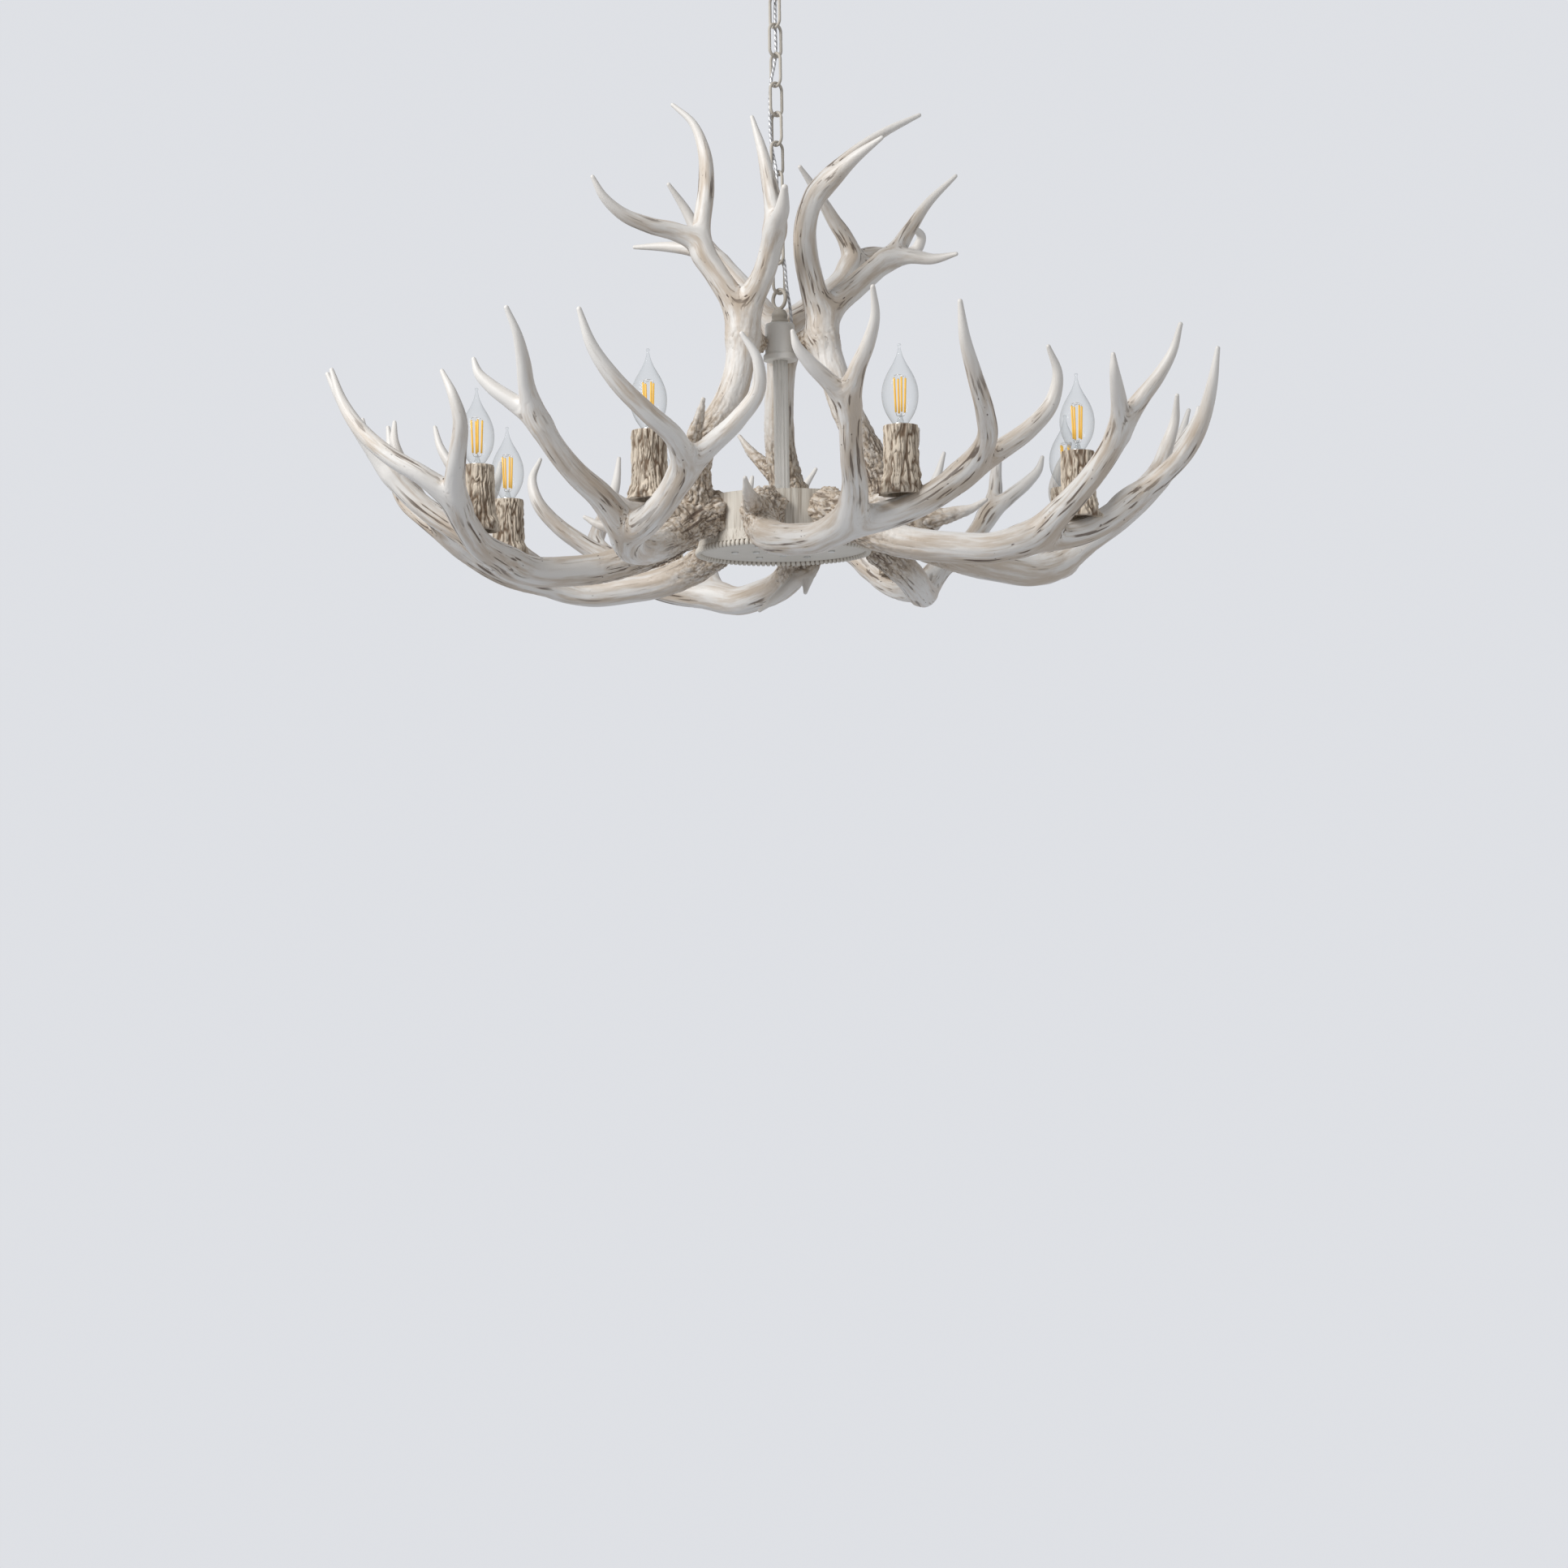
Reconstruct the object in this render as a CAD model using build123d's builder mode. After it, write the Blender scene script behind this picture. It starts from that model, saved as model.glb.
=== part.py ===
"""Antler chandelier with eight candle lights, hung from a ceiling canopy on a chain.

Row frame: millimetres, +Z up, origin in the ceiling plane at the centre of the
canopy's crossbar.  The photographed side looks toward +Y.
"""
import os
from math import cos, pi, radians, sin, sqrt, tan

from build123d import *

# ---------------------------------------------------------------- driving sizes
# ceiling fitting
CANOPY_RADIUS = 60.0
CANOPY_DEPTH = 24.0
CANOPY_WALL = 1.5
CANOPY_FLAT_RADIUS = 33.0
CANOPY_SHOULDER_RADIUS = 53.0
CANOPY_SHOULDER_DEPTH = 17.5
CROSSBAR_LENGTH = 100.0
CROSSBAR_WIDTH = 20.0
CROSSBAR_THICKNESS = 2.0
CEILING_SCREW_SPACING = 80.0
CEILING_SCREW_HOLE_RADIUS = 2.6
CANOPY_SCREW_SPACING = 50.0
CANOPY_SCREW_RADIUS = 2.0
CAP_NUT_RADIUS = 4.5
CAP_NUT_HEX_HEIGHT = 3.0
CAP_NUT_DOME_RADIUS = 3.6
SCREW_CLEARANCE = 0.05
NIPPLE_RADIUS = 5.0
NIPPLE_BORE_RADIUS = 3.2
LOCK_NUT_ACROSS = 15.0
LOCK_NUT_HEIGHT = 4.0
CANOPY_CORD_HOLE_RADIUS = 2.6

# chain
LINK_COUNT = 10
LINK_LENGTH = 38.0
LINK_WIDTH = 18.5
LINK_WIRE = 3.2
LINK_GAP = 0.3
CHAIN_TURN = 40.0
RING_WIRE = 4.0
RING_RADIUS = 10.0
RING_BOSS_RADIUS = 8.0
RING_BOSS_HEIGHT = 9.0

# crown
FINIAL_RADIUS = 9.0
FINIAL_HEIGHT = 16.0
FINIAL_THREAD_DEPTH = 9.5
COLLAR_RADIUS = 15.5
COLLAR_FLANGE_RADIUS = 17.5
COLLAR_FLANGE_HEIGHT = 6.0
COLLAR_HEIGHT = 39.0
COLLAR_WALL = 2.5
CORD_HOLE_RADIUS = 2.2

# post and hub drum
POST_RADIUS = 8.0
POST_FLUTES = 12
POST_FLUTE_RADIUS = 0.9
POST_BORE_RADIUS = 5.2
TIE_ROD_RADIUS = 5.0
TIE_ROD_IN_FINIAL = 9.0
DRUM_RADIUS = 86.0
DRUM_HEIGHT = 50.0
DRUM_WALL = 4.0
DRUM_FLARE = 3.0
PLATE_THICKNESS = 3.0
TOP_PLATE_DROP = 5.0
HUB_TO_COLLAR = 171.0
BEAD_RADIUS = 2.6
BRACKET_RADIUS = 58.0
ROD_NUT_RADIUS = 9.8
ROD_NUT_HEIGHT = 5.0
PLATE_CLEARANCE = 0.2
PLATE_SCREW_RADIUS = 2.0
PLATE_SCREW_HEAD_RADIUS = 3.6
PLATE_SCREW_HEAD_HEIGHT = 1.6
PLATE_SCREW_CIRCLE_RADII = [28.0, 50.0]
PLATE_SCREW_COUNTS = [4, 6]
ANTLER_SCREW_RADIUS = 3.0
ANTLER_SCREW_HEAD_RADIUS = 6.0
ANTLER_SCREW_HEAD_HEIGHT = 3.0
ANTLER_SCREW_LENGTH = 32.0

# candle lights
LIGHT_COUNT = 8
LIGHT_REACH = 324.0
LIGHT_SWING = 33.0
SLEEVE_HEIGHT = 66.0
SLEEVE_RADIUS = 16.8
SLEEVE_STRAIGHT_HEIGHT = 36.0
SLEEVE_SPREAD_RADIUS = 18.8
SLEEVE_SPREAD_DROP = 53.0
SLEEVE_FOOT_RADIUS = 22.0
SLEEVE_BORE_RADIUS = 13.6
SLEEVE_TOP_RISE = 50.0
HOLDER_RADIUS = 13.3
HOLDER_HEIGHT = 44.0
HOLDER_DROP = 3.0
CAP_RADIUS = 6.95
CAP_LENGTH = 24.0
CAP_CLEARANCE = 0.05
CAP_COLLAR_HEIGHT = 2.0
STEM_RADIUS = 4.0
STEM_HEIGHT = 12.0
BULB_HEIGHT = 79.0
BULB_GLASS_WALL = 0.9
# bulb outline from its neck up: (height, radius)
BULB_PROFILE = [
    (0, 7.6), (5, 9.6), (14, 14.6), (26, 17.5), (38, 16.8), (50, 12.4),
    (59, 7.2), (65, 4.2), (71, 2.2), (79, 1.4),
]
FILAMENT_LENGTH = 32.0
FILAMENT_RADIUS = 0.9
FILAMENT_CIRCLE = 4.0
FILAMENT_RING_HALF_WIDTH = 1.3
FILAMENT_RING_THICKNESS = 1.0

# cord
CORD_RADIUS = 1.6
CORD_CORNER_SHARE = 0.45

# lower antler cast: stations of (distance out from the drum, swing from its
# root, rise from the hub's mid height, radius), one list for each run of horn,
# written for a light that stands CAST_LIGHT_OUT from the drum
CAST_LIGHT_OUT = 238.0
CAST_ROOT_AZIMUTH = -57.5
# small turns, in degrees, by which each antler is off its even place
HAND_SET_TRIM = [1.5, 0, 0.5, 0, 1, 3, 0, -2]
LOWER_BEAM = [
    (-6, 0, 5, 20), (6, 0, 2, 20.5), (17, 1, -4, 17.5), (42, 3, -17, 17), (74, 6.5, -31, 16.5),
    (106, 11, -41, 16), (136, 16, -46, 15.5), (176, 21, -48, 15.5), (211, 24.5, -36, 15.5),
    (244, 24.5, -12, 13), (276, 23, 10, 11.5), (304, 22, 36, 11), (324, 21.5, 62, 10.5),
    (341, 22, 84, 8), (356, 23, 105, 6.5), (370, 23.5, 128, 4.5), (381, 23, 152, 1.6),
]
LOWER_U_TINE = [
    (316, 21.5, 52, 8), (331, 18.5, 74, 8), (341, 16, 90, 6.5), (347, 14.5, 104, 4.5), (349, 14, 117, 1.6),
]
LOWER_O_BEAM = [
    (196, 24, -42, 12), (216, 29, -37, 14), (239, 34, -29, 13.5), (261, 38.5, -13, 13), (283, 41.5, 8, 12.5),
    (311, 41.5, 28, 10), (339, 39, 49, 9), (363, 36, 78, 7.5), (377, 34, 108, 5.5), (386, 33, 141, 1.6),
]
LOWER_O_TINE = [
    (271, 41, 0, 10), (289, 45.5, 22, 10), (302, 50, 45, 8.5), (312, 53, 72, 7), (320, 53, 96, 5),
    (323, 51, 121, 1.6),
]
LOWER_BROW = [
    (9, 0, 8, 12), (39, 1, 2, 11), (69, 1.5, 1, 9.5), (94, 2, 4, 7), (112, 2.4, 9, 4.5), (126, 2.6, 17, 1.6),
]

# two small spurs under one rear antler's root, in the same kind of stations
SPUR_ANTLER = 6
SPURS = [
    [(47.4, -3.5, -16, 9), (37.6, 0.2, -34, 8), (28, 9.5, -54, 6), (22.7, 22.3, -71, 1.6)],
    [(47.4, -3.5, -16, 8), (37.2, -3.6, -34, 6), (26.6, -2.8, -52, 1.6)],
]

# upper antlers: stations of (x, y, rise from the hub's mid height, radius),
# whose feet, up to UPPER_FREE_RISE, spread with the drum they were set on
UPPER_DRUM_RADIUS = 86.0
UPPER_FREE_RISE = 180.0
UPPER_LEFT = {
    "beam": [(-88, -53, 14, 18), (-92, -58, 34, 18.5), (-90, -63, 58, 17), (-76, -60, 84, 16),
             (-60, -53, 108, 15.5), (-47, -46, 138, 15), (-40, -41, 170, 14.5),
             (-36, -38, 200, 15), (-29, -43, 226, 13.5),
             (-16, -60, 250, 12), (-8, -77, 272, 11.5), (-3, -95, 292, 10.5), (-5, -101, 315, 9),
             (-9, -101, 338, 7.5), (-15, -98, 368, 5.5), (-25, -93, 405, 1.6)],
    "fork": [(-39, -40, 180, 11), (-42, -40, 206, 13), (-50, -41, 230, 13), (-63, -42, 252, 12.5),
             (-75, -43, 271, 12), (-85, -44, 288, 11), (-104, -49, 297, 9.5), (-132, -62, 302, 8),
             (-160, -76, 312, 6.5),
             (-178, -86, 328, 4.5), (-188, -93, 346, 1.6)],
    "fork_tine": [(-78, -42, 276, 9), (-79, -38, 302, 9), (-74, -27, 350, 8), (-76, -16, 390, 6.5),
                  (-88, -10, 422, 4), (-108, -5, 442, 1.6)],
    "end_tine": [(-4, -92, 288, 9), (0, -112, 294, 8.5), (4, -132, 300, 7.5), (7, -152, 318, 3)],
    "brow": [(-90, -60, 44, 11), (-92, -80, 62, 10), (-88, -100, 78, 7.5), (-82, -114, 94, 5),
             (-78, -126, 110, 1.6)],
    "stub": [(-39, -40, 186, 13), (-25, -26, 188, 14), (-10, -11, 189, 13)],
}
UPPER_RIGHT = {
    "beam": [(102, -24, 12, 18), (103, -27, 34, 18.5), (94, -32, 56, 17), (80, -37, 84, 16),
             (66, -38, 116, 15.5),
             (56, -36, 148, 15), (47, -32, 180, 14.5), (42, -31, 212, 15), (34, -40, 242, 13.5),
             (28, -49, 272, 12.5), (28, -56, 300, 11.5), (36, -60, 326, 10.5), (52, -58, 348, 9.5),
             (78, -44, 376, 7.5), (110, -22, 404, 5), (149, -5, 427, 1.6)],
    "fork": [(43, -31, 200, 12), (58, -22, 226, 13), (79, -4, 248, 12.5), (103, 16, 272, 11.5),
             (120, 28, 288, 10),
             (137, 40, 314, 7.5), (158, 52, 346, 5), (189, 62, 378, 1.6)],
    "fork_tine": [(112, 22, 280, 8.5), (134, 18, 283, 8), (161, 0, 276, 5.5), (184, -18, 277, 1.6)],
    "end_tine": [(42, -60, 334, 8), (58, -66, 348, 8), (80, -76, 366, 6), (107, -88, 383, 1.6)],
    "brow": [(103, -28, 38, 11), (118, -22, 52, 9.5), (130, -12, 66, 7), (138, -2, 82, 4.5),
             (142, 6, 98, 1.6)],
    "stub": [(45, -32, 186, 13), (28, -20, 188, 14), (11, -8, 189, 13)],
}
UPPER_BACK = {
    "beam": [(20, 102, 12, 18), (14, 106, 34, 18.5), (6, 102, 58, 17), (0, 92, 86, 16), (-2, 74, 118, 15.5),
             (-1, 56, 150, 15), (2, 44, 182, 14.5), (4, 44, 212, 15), (26, 54, 232, 13.5),
             (50, 70, 254, 12.5), (70, 88, 278, 11.5), (78, 94, 298, 10.5), (72, 92, 318, 9),
             (60, 84, 336, 7.5), (42, 68, 364, 5), (24, 52, 388, 1.6)],
    "fork": [(3, 44, 200, 12), (-12, 54, 226, 13), (-34, 68, 256, 12.5), (-54, 82, 282, 11.5),
             (-70, 94, 302, 10),
             (-84, 98, 326, 7.5), (-100, 94, 356, 5), (-116, 84, 379, 1.6)],
    "fork_tine": [(-64, 90, 294, 9), (-86, 106, 311, 8), (-120, 122, 320, 5.5), (-155, 130, 322, 1.6)],
    "end_tine": [(74, 92, 288, 9), (96, 114, 306, 8.5), (126, 138, 310, 8), (149, 149, 318, 6.5),
                 (155, 144, 331, 5), (144, 130, 340, 2.5)],
    "brow": [(14, 104, 44, 11), (-4, 116, 66, 10), (-18, 124, 82, 7.5), (-33, 132, 98, 5),
             (-45, 140, 116, 1.6)],
    "stub": [(3, 44, 186, 13), (1, 28, 188, 14), (0, 10, 189, 13)],
}

# power cord: route beside and through the chain, as (along the first link
# plane, across it, height), chosen by hand
CORD_ROUTE = [
    (9.0, 9.0, -20), (8.0, 8.5, -50), (4.5, 5.0, -80), (5.0, 4.5, -114), (-4.8, 4.0, -144),
    (-5.0, 5.0, -176), (-4.2, 5.0, -208), (-4.2, -4.8, -238), (-5.0, -5.0, -270),
    (-5.0, -4.2, -302), (4.8, -4.2, -332), (5.5, -5.5, -360), (8.8, -8.4, -386), (8.6, -8.6, -400),
]

# ---------------------------------------------------------------- derived places
QUARTER_TURN = 90
LINK_STRAIGHT_HALF = (LINK_LENGTH - LINK_WIDTH) / 2
LINK_ARC_RADIUS = (LINK_WIDTH - LINK_WIRE) / 2
LINK_PITCH = LINK_LENGTH - 2 * LINK_WIRE - LINK_GAP
RING_TO_LINK = (RING_WIRE + LINK_WIRE) / 2 + LINK_GAP

CANOPY_RING_Z = -(CANOPY_DEPTH + RING_BOSS_HEIGHT + RING_RADIUS)
FIRST_LINK_Z = CANOPY_RING_Z - RING_RADIUS + RING_TO_LINK - (LINK_LENGTH - LINK_WIRE) / 2
LAST_LINK_Z = FIRST_LINK_Z - (LINK_COUNT - 1) * LINK_PITCH
CROWN_RING_Z = LAST_LINK_Z - (LINK_LENGTH - LINK_WIRE) / 2 + RING_TO_LINK - RING_RADIUS
FINIAL_TOP = CROWN_RING_Z - RING_RADIUS
COLLAR_TOP = FINIAL_TOP - FINIAL_HEIGHT
COLLAR_BOTTOM = COLLAR_TOP - COLLAR_HEIGHT
HUB_Z = COLLAR_BOTTOM - HUB_TO_COLLAR
DRUM_TOP = HUB_Z + DRUM_HEIGHT / 2
DRUM_BOTTOM = HUB_Z - DRUM_HEIGHT / 2
DRUM_STEP_RADIUS = DRUM_RADIUS - DRUM_WALL - PLATE_THICKNESS
SCREW_HEAD_REACH = sqrt(DRUM_STEP_RADIUS**2 - ANTLER_SCREW_HEAD_RADIUS**2) - SCREW_CLEARANCE
TOP_PLATE_TOP = DRUM_TOP - TOP_PLATE_DROP
SLEEVE_TOP = HUB_Z + SLEEVE_TOP_RISE
HOLDER_TOP = SLEEVE_TOP - HOLDER_DROP
HOLDER_BOTTOM = HOLDER_TOP - HOLDER_HEIGHT

os.makedirs("parts", exist_ok=True)


def save(builder, name):
    """Label a finished piece and write it to its own file."""
    builder.part.label = name
    export_step(builder.part, f"parts/{name}.step")


def chain_plane(quarter_turns, height=0.0):
    """Plane whose local X lies in a link's width and local Y points up."""
    angle = radians(CHAIN_TURN + QUARTER_TURN * quarter_turns)
    return Plane(
        origin=(0, 0, height),
        x_dir=(cos(angle), sin(angle), 0),
        z_dir=(sin(angle), -cos(angle), 0),
    )


def cast_points(stations, turn=0.0, lift=0.0):
    """Turn (out, swing, rise, radius) stations into points, root toward -Y unless turned."""
    stretch = (LIGHT_REACH - DRUM_RADIUS) / CAST_LIGHT_OUT
    points = []
    for out, swing, rise, radius in stations:
        reach = DRUM_RADIUS + out * stretch
        azimuth = radians(swing + turn)
        points.append((reach * sin(azimuth), -reach * cos(azimuth), lift + rise, radius))
    return points


def upper_points(stations):
    """Place (x, y, rise, radius) stations, spreading the foot with the drum."""
    points = []
    for x, y, rise, radius in stations:
        foot_share = max(0, 1 - rise / UPPER_FREE_RISE)
        spread = 1 + (DRUM_RADIUS / UPPER_DRUM_RADIUS - 1) * foot_share
        points.append((x * spread, y * spread, HUB_Z + rise, radius))
    return points


def horn(stations):
    """Loft one run of horn through circles set square to its centre line."""
    centres = [Vector(x, y, z) for x, y, z, _ in stations]
    side = None
    sections = []
    for index, centre in enumerate(centres):
        before = centres[max(index - 1, 0)]
        after = centres[min(index + 1, len(centres) - 1)]
        along = (after - before).normalized()
        if side is None:
            side = along.cross(Vector(0, 0, 1)).normalized()
        side = (side - along * side.dot(along)).normalized()
        with BuildSketch(Plane(origin=centre, x_dir=side, z_dir=along)) as section:
            Circle(stations[index][3])
        sections.append(section.sketch)
    loft(sections=sections)


# ---------------------------------------------------------------- ceiling fitting
CORD_TURN = radians(CHAIN_TURN)
cord_top = CORD_ROUTE[0]
cord_end = CORD_ROUTE[-1]


def beside_chain(along, across):
    """Place a point given in the first link plane's directions."""
    return (
        along * cos(CORD_TURN) - across * sin(CORD_TURN),
        along * sin(CORD_TURN) + across * cos(CORD_TURN),
    )


with BuildPart() as canopy:
    with BuildSketch(Plane.XZ):
        with BuildLine():
            Line((0, -CANOPY_DEPTH), (CANOPY_FLAT_RADIUS, -CANOPY_DEPTH))
            Spline(
                (CANOPY_FLAT_RADIUS, -CANOPY_DEPTH),
                (CANOPY_SHOULDER_RADIUS, -CANOPY_SHOULDER_DEPTH),
                (CANOPY_RADIUS, 0),
                tangents=[(1, 0), (0, 1)],
            )
            Line((CANOPY_RADIUS, 0), (0, 0))
            Line((0, 0), (0, -CANOPY_DEPTH))
        make_face()
    revolve(axis=Axis.Z)
    offset(amount=-CANOPY_WALL, openings=canopy.faces().sort_by(Axis.Z)[-1])
    with BuildSketch(Plane.XY.offset(-CANOPY_DEPTH)):
        Circle(NIPPLE_RADIUS + SCREW_CLEARANCE)
        with GridLocations(CANOPY_SCREW_SPACING, 0, 2, 1):
            Circle(CANOPY_SCREW_RADIUS + SCREW_CLEARANCE)
        with Locations(beside_chain(cord_top[0], cord_top[1])):
            Circle(CANOPY_CORD_HOLE_RADIUS)
    extrude(amount=2 * CANOPY_WALL, mode=Mode.SUBTRACT)
save(canopy, "canopy")

with BuildPart() as crossbar:
    with BuildSketch(Plane.XY.offset(-CROSSBAR_THICKNESS)):
        SlotOverall(CROSSBAR_LENGTH, CROSSBAR_WIDTH)
        Circle(NIPPLE_RADIUS + SCREW_CLEARANCE, mode=Mode.SUBTRACT)
        with GridLocations(CEILING_SCREW_SPACING, 0, 2, 1):
            Circle(CEILING_SCREW_HOLE_RADIUS, mode=Mode.SUBTRACT)
        with GridLocations(CANOPY_SCREW_SPACING, 0, 2, 1):
            Circle(CANOPY_SCREW_RADIUS + SCREW_CLEARANCE, mode=Mode.SUBTRACT)
    extrude(amount=CROSSBAR_THICKNESS)
save(crossbar, "mounting_crossbar")

with BuildPart() as canopy_fasteners:
    with BuildSketch(Plane.XY.offset(-CANOPY_DEPTH)):
        with GridLocations(CANOPY_SCREW_SPACING, 0, 2, 1):
            Circle(CANOPY_SCREW_RADIUS)
    extrude(amount=CANOPY_DEPTH)
    with BuildSketch(Plane.XY.offset(-CANOPY_DEPTH)):
        with GridLocations(CANOPY_SCREW_SPACING, 0, 2, 1):
            RegularPolygon(CAP_NUT_RADIUS, 6)
    extrude(amount=-CAP_NUT_HEX_HEIGHT)
    with Locations((0, 0, -CANOPY_DEPTH - CAP_NUT_HEX_HEIGHT)):
        with GridLocations(CANOPY_SCREW_SPACING, 0, 2, 1):
            Sphere(CAP_NUT_DOME_RADIUS, arc_size1=-QUARTER_TURN, arc_size2=0)
    with BuildSketch(Plane.XY.offset(-CROSSBAR_THICKNESS)):
        RegularPolygon(LOCK_NUT_ACROSS / sqrt(3), 6)
        Circle(NIPPLE_RADIUS + SCREW_CLEARANCE, mode=Mode.SUBTRACT)
    extrude(amount=-LOCK_NUT_HEIGHT)
    with BuildSketch(Plane.XY.offset(-CANOPY_DEPTH + CANOPY_WALL)):
        RegularPolygon(LOCK_NUT_ACROSS / sqrt(3), 6)
        Circle(NIPPLE_RADIUS + SCREW_CLEARANCE, mode=Mode.SUBTRACT)
    extrude(amount=LOCK_NUT_HEIGHT)
save(canopy_fasteners, "canopy_fasteners")


def carrying_ring(quarter_turns, centre_z):
    """Add a round-wire ring standing in the given link plane."""
    with Locations(chain_plane(quarter_turns, centre_z)):
        Torus(RING_RADIUS, RING_WIRE / 2)


with BuildPart() as canopy_loop:
    with BuildSketch(Plane.XY.offset(-CANOPY_DEPTH - RING_BOSS_HEIGHT)):
        Circle(RING_BOSS_RADIUS)
    extrude(amount=RING_BOSS_HEIGHT)
    fillet(canopy_loop.edges().sort_by(Axis.Z)[0], radius=RING_BOSS_HEIGHT / 3)
    with BuildSketch(Plane.XY.offset(-CANOPY_DEPTH)):
        Circle(NIPPLE_RADIUS)
    extrude(amount=CANOPY_DEPTH)
    with BuildSketch(Plane.XY):
        Circle(NIPPLE_BORE_RADIUS)
    extrude(amount=-CANOPY_DEPTH + CANOPY_WALL, mode=Mode.SUBTRACT)
    carrying_ring(0, CANOPY_RING_Z)
save(canopy_loop, "canopy_loop")

# ---------------------------------------------------------------- chain
for number in range(1, LINK_COUNT + 1):
    link_z = FIRST_LINK_Z - (number - 1) * LINK_PITCH
    with BuildPart() as link:
        with BuildLine(chain_plane(number, link_z)):
            right = Line((LINK_ARC_RADIUS, -LINK_STRAIGHT_HALF), (LINK_ARC_RADIUS, LINK_STRAIGHT_HALF))
            CenterArc((0, LINK_STRAIGHT_HALF), LINK_ARC_RADIUS, 0, 180)
            Line((-LINK_ARC_RADIUS, LINK_STRAIGHT_HALF), (-LINK_ARC_RADIUS, -LINK_STRAIGHT_HALF))
            CenterArc((0, -LINK_STRAIGHT_HALF), LINK_ARC_RADIUS, 180, 180)
        with BuildSketch(Plane(origin=right @ 0, z_dir=right % 0)):
            Circle(LINK_WIRE / 2)
        sweep()
    save(link, f"chain_link_{number:02d}")

# ---------------------------------------------------------------- power cord
cord_points = [Vector(*beside_chain(along, across), z) for along, across, z in CORD_ROUTE]
cord_radii = []
for before, corner, after in zip(cord_points, cord_points[1:], cord_points[2:]):
    turn = (corner - before).get_angle(after - corner)
    shorter = min((corner - before).length, (after - corner).length)
    cord_radii.append(CORD_CORNER_SHARE * shorter / tan(radians(turn / 2)))
print("cord bend radii:", [round(value) for value in cord_radii])
with BuildPart() as power_cord:
    with BuildLine() as cord_path:
        FilletPolyline(*cord_points, radius=cord_radii)
    with BuildSketch(Plane(origin=cord_path.line @ 0, z_dir=cord_path.line % 0)):
        Circle(CORD_RADIUS)
    sweep()
cord_length = sum(edge.length for edge in cord_path.edges())
cord_share = power_cord.part.volume / (cord_length * pi * CORD_RADIUS**2)
print("cord length:", round(cord_length, 1), "volume over section times length:", round(cord_share, 4))
save(power_cord, "power_cord")

# ---------------------------------------------------------------- crown, collar and post
with BuildPart() as crown_loop:
    with BuildSketch(Plane.XY.offset(COLLAR_TOP)):
        Circle(FINIAL_RADIUS)
    extrude(amount=FINIAL_HEIGHT)
    fillet(crown_loop.edges().sort_by(Axis.Z)[-1], radius=FINIAL_RADIUS / 2)
    with BuildSketch(Plane.XY.offset(COLLAR_TOP)):
        Circle(TIE_ROD_RADIUS + SCREW_CLEARANCE)
    extrude(amount=FINIAL_THREAD_DEPTH, mode=Mode.SUBTRACT)
    carrying_ring(LINK_COUNT + 1, CROWN_RING_Z)
save(crown_loop, "crown_loop")

with BuildPart() as collar:
    with BuildSketch(Plane.XY.offset(COLLAR_BOTTOM)):
        Circle(COLLAR_FLANGE_RADIUS)
    extrude(amount=COLLAR_FLANGE_HEIGHT)
    with BuildSketch(Plane.XY.offset(COLLAR_BOTTOM + COLLAR_FLANGE_HEIGHT)):
        Circle(COLLAR_RADIUS)
    extrude(amount=COLLAR_HEIGHT - COLLAR_FLANGE_HEIGHT)
    with BuildSketch(Plane.XY.offset(COLLAR_BOTTOM + COLLAR_WALL)):
        Circle(COLLAR_RADIUS - COLLAR_WALL)
    extrude(amount=COLLAR_HEIGHT - 2 * COLLAR_WALL, mode=Mode.SUBTRACT)
    with BuildSketch(Plane.XY.offset(COLLAR_BOTTOM)):
        Circle(TIE_ROD_RADIUS + SCREW_CLEARANCE)
    extrude(amount=COLLAR_HEIGHT, mode=Mode.SUBTRACT)
    with BuildSketch(Plane.XY.offset(COLLAR_TOP - COLLAR_WALL)):
        with Locations(beside_chain(cord_end[0], cord_end[1])):
            Circle(CORD_HOLE_RADIUS)
    extrude(amount=COLLAR_WALL, mode=Mode.SUBTRACT)
save(collar, "collar")

with BuildPart() as post:
    with BuildSketch(Plane.XY.offset(TOP_PLATE_TOP)):
        Circle(POST_RADIUS)
        Circle(POST_BORE_RADIUS, mode=Mode.SUBTRACT)
        with PolarLocations(POST_RADIUS, POST_FLUTES):
            Circle(POST_FLUTE_RADIUS, mode=Mode.SUBTRACT)
    extrude(amount=COLLAR_BOTTOM - TOP_PLATE_TOP)
save(post, "post")

with BuildPart() as tie_rod:
    with BuildSketch(Plane.XY.offset(DRUM_BOTTOM - PLATE_THICKNESS)):
        Circle(TIE_ROD_RADIUS)
        Circle(NIPPLE_BORE_RADIUS, mode=Mode.SUBTRACT)
    extrude(amount=COLLAR_TOP + TIE_ROD_IN_FINIAL - (DRUM_BOTTOM - PLATE_THICKNESS))
save(tie_rod, "tie_rod")

# ---------------------------------------------------------------- hub drum


def drum_outline(outer_only):
    """Outer half section of the drum: straight side that flares at its foot."""
    foot = DRUM_RADIUS + DRUM_FLARE
    inner = 0 if outer_only else DRUM_STEP_RADIUS
    with BuildLine() as outline:
        Polyline(
            (DRUM_RADIUS, DRUM_HEIGHT / 2),
            (DRUM_RADIUS, -DRUM_HEIGHT / 4),
            (foot, -DRUM_HEIGHT / 2),
            (inner, -DRUM_HEIGHT / 2),
            (inner, DRUM_HEIGHT / 2),
            (DRUM_RADIUS, DRUM_HEIGHT / 2),
        )
    make_face(outline.edges())


def root_azimuth(number):
    """Direction of one lower antler's root, in degrees from the front toward +X."""
    return CAST_ROOT_AZIMUTH + number * 360 / LIGHT_COUNT + HAND_SET_TRIM[number]


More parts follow.
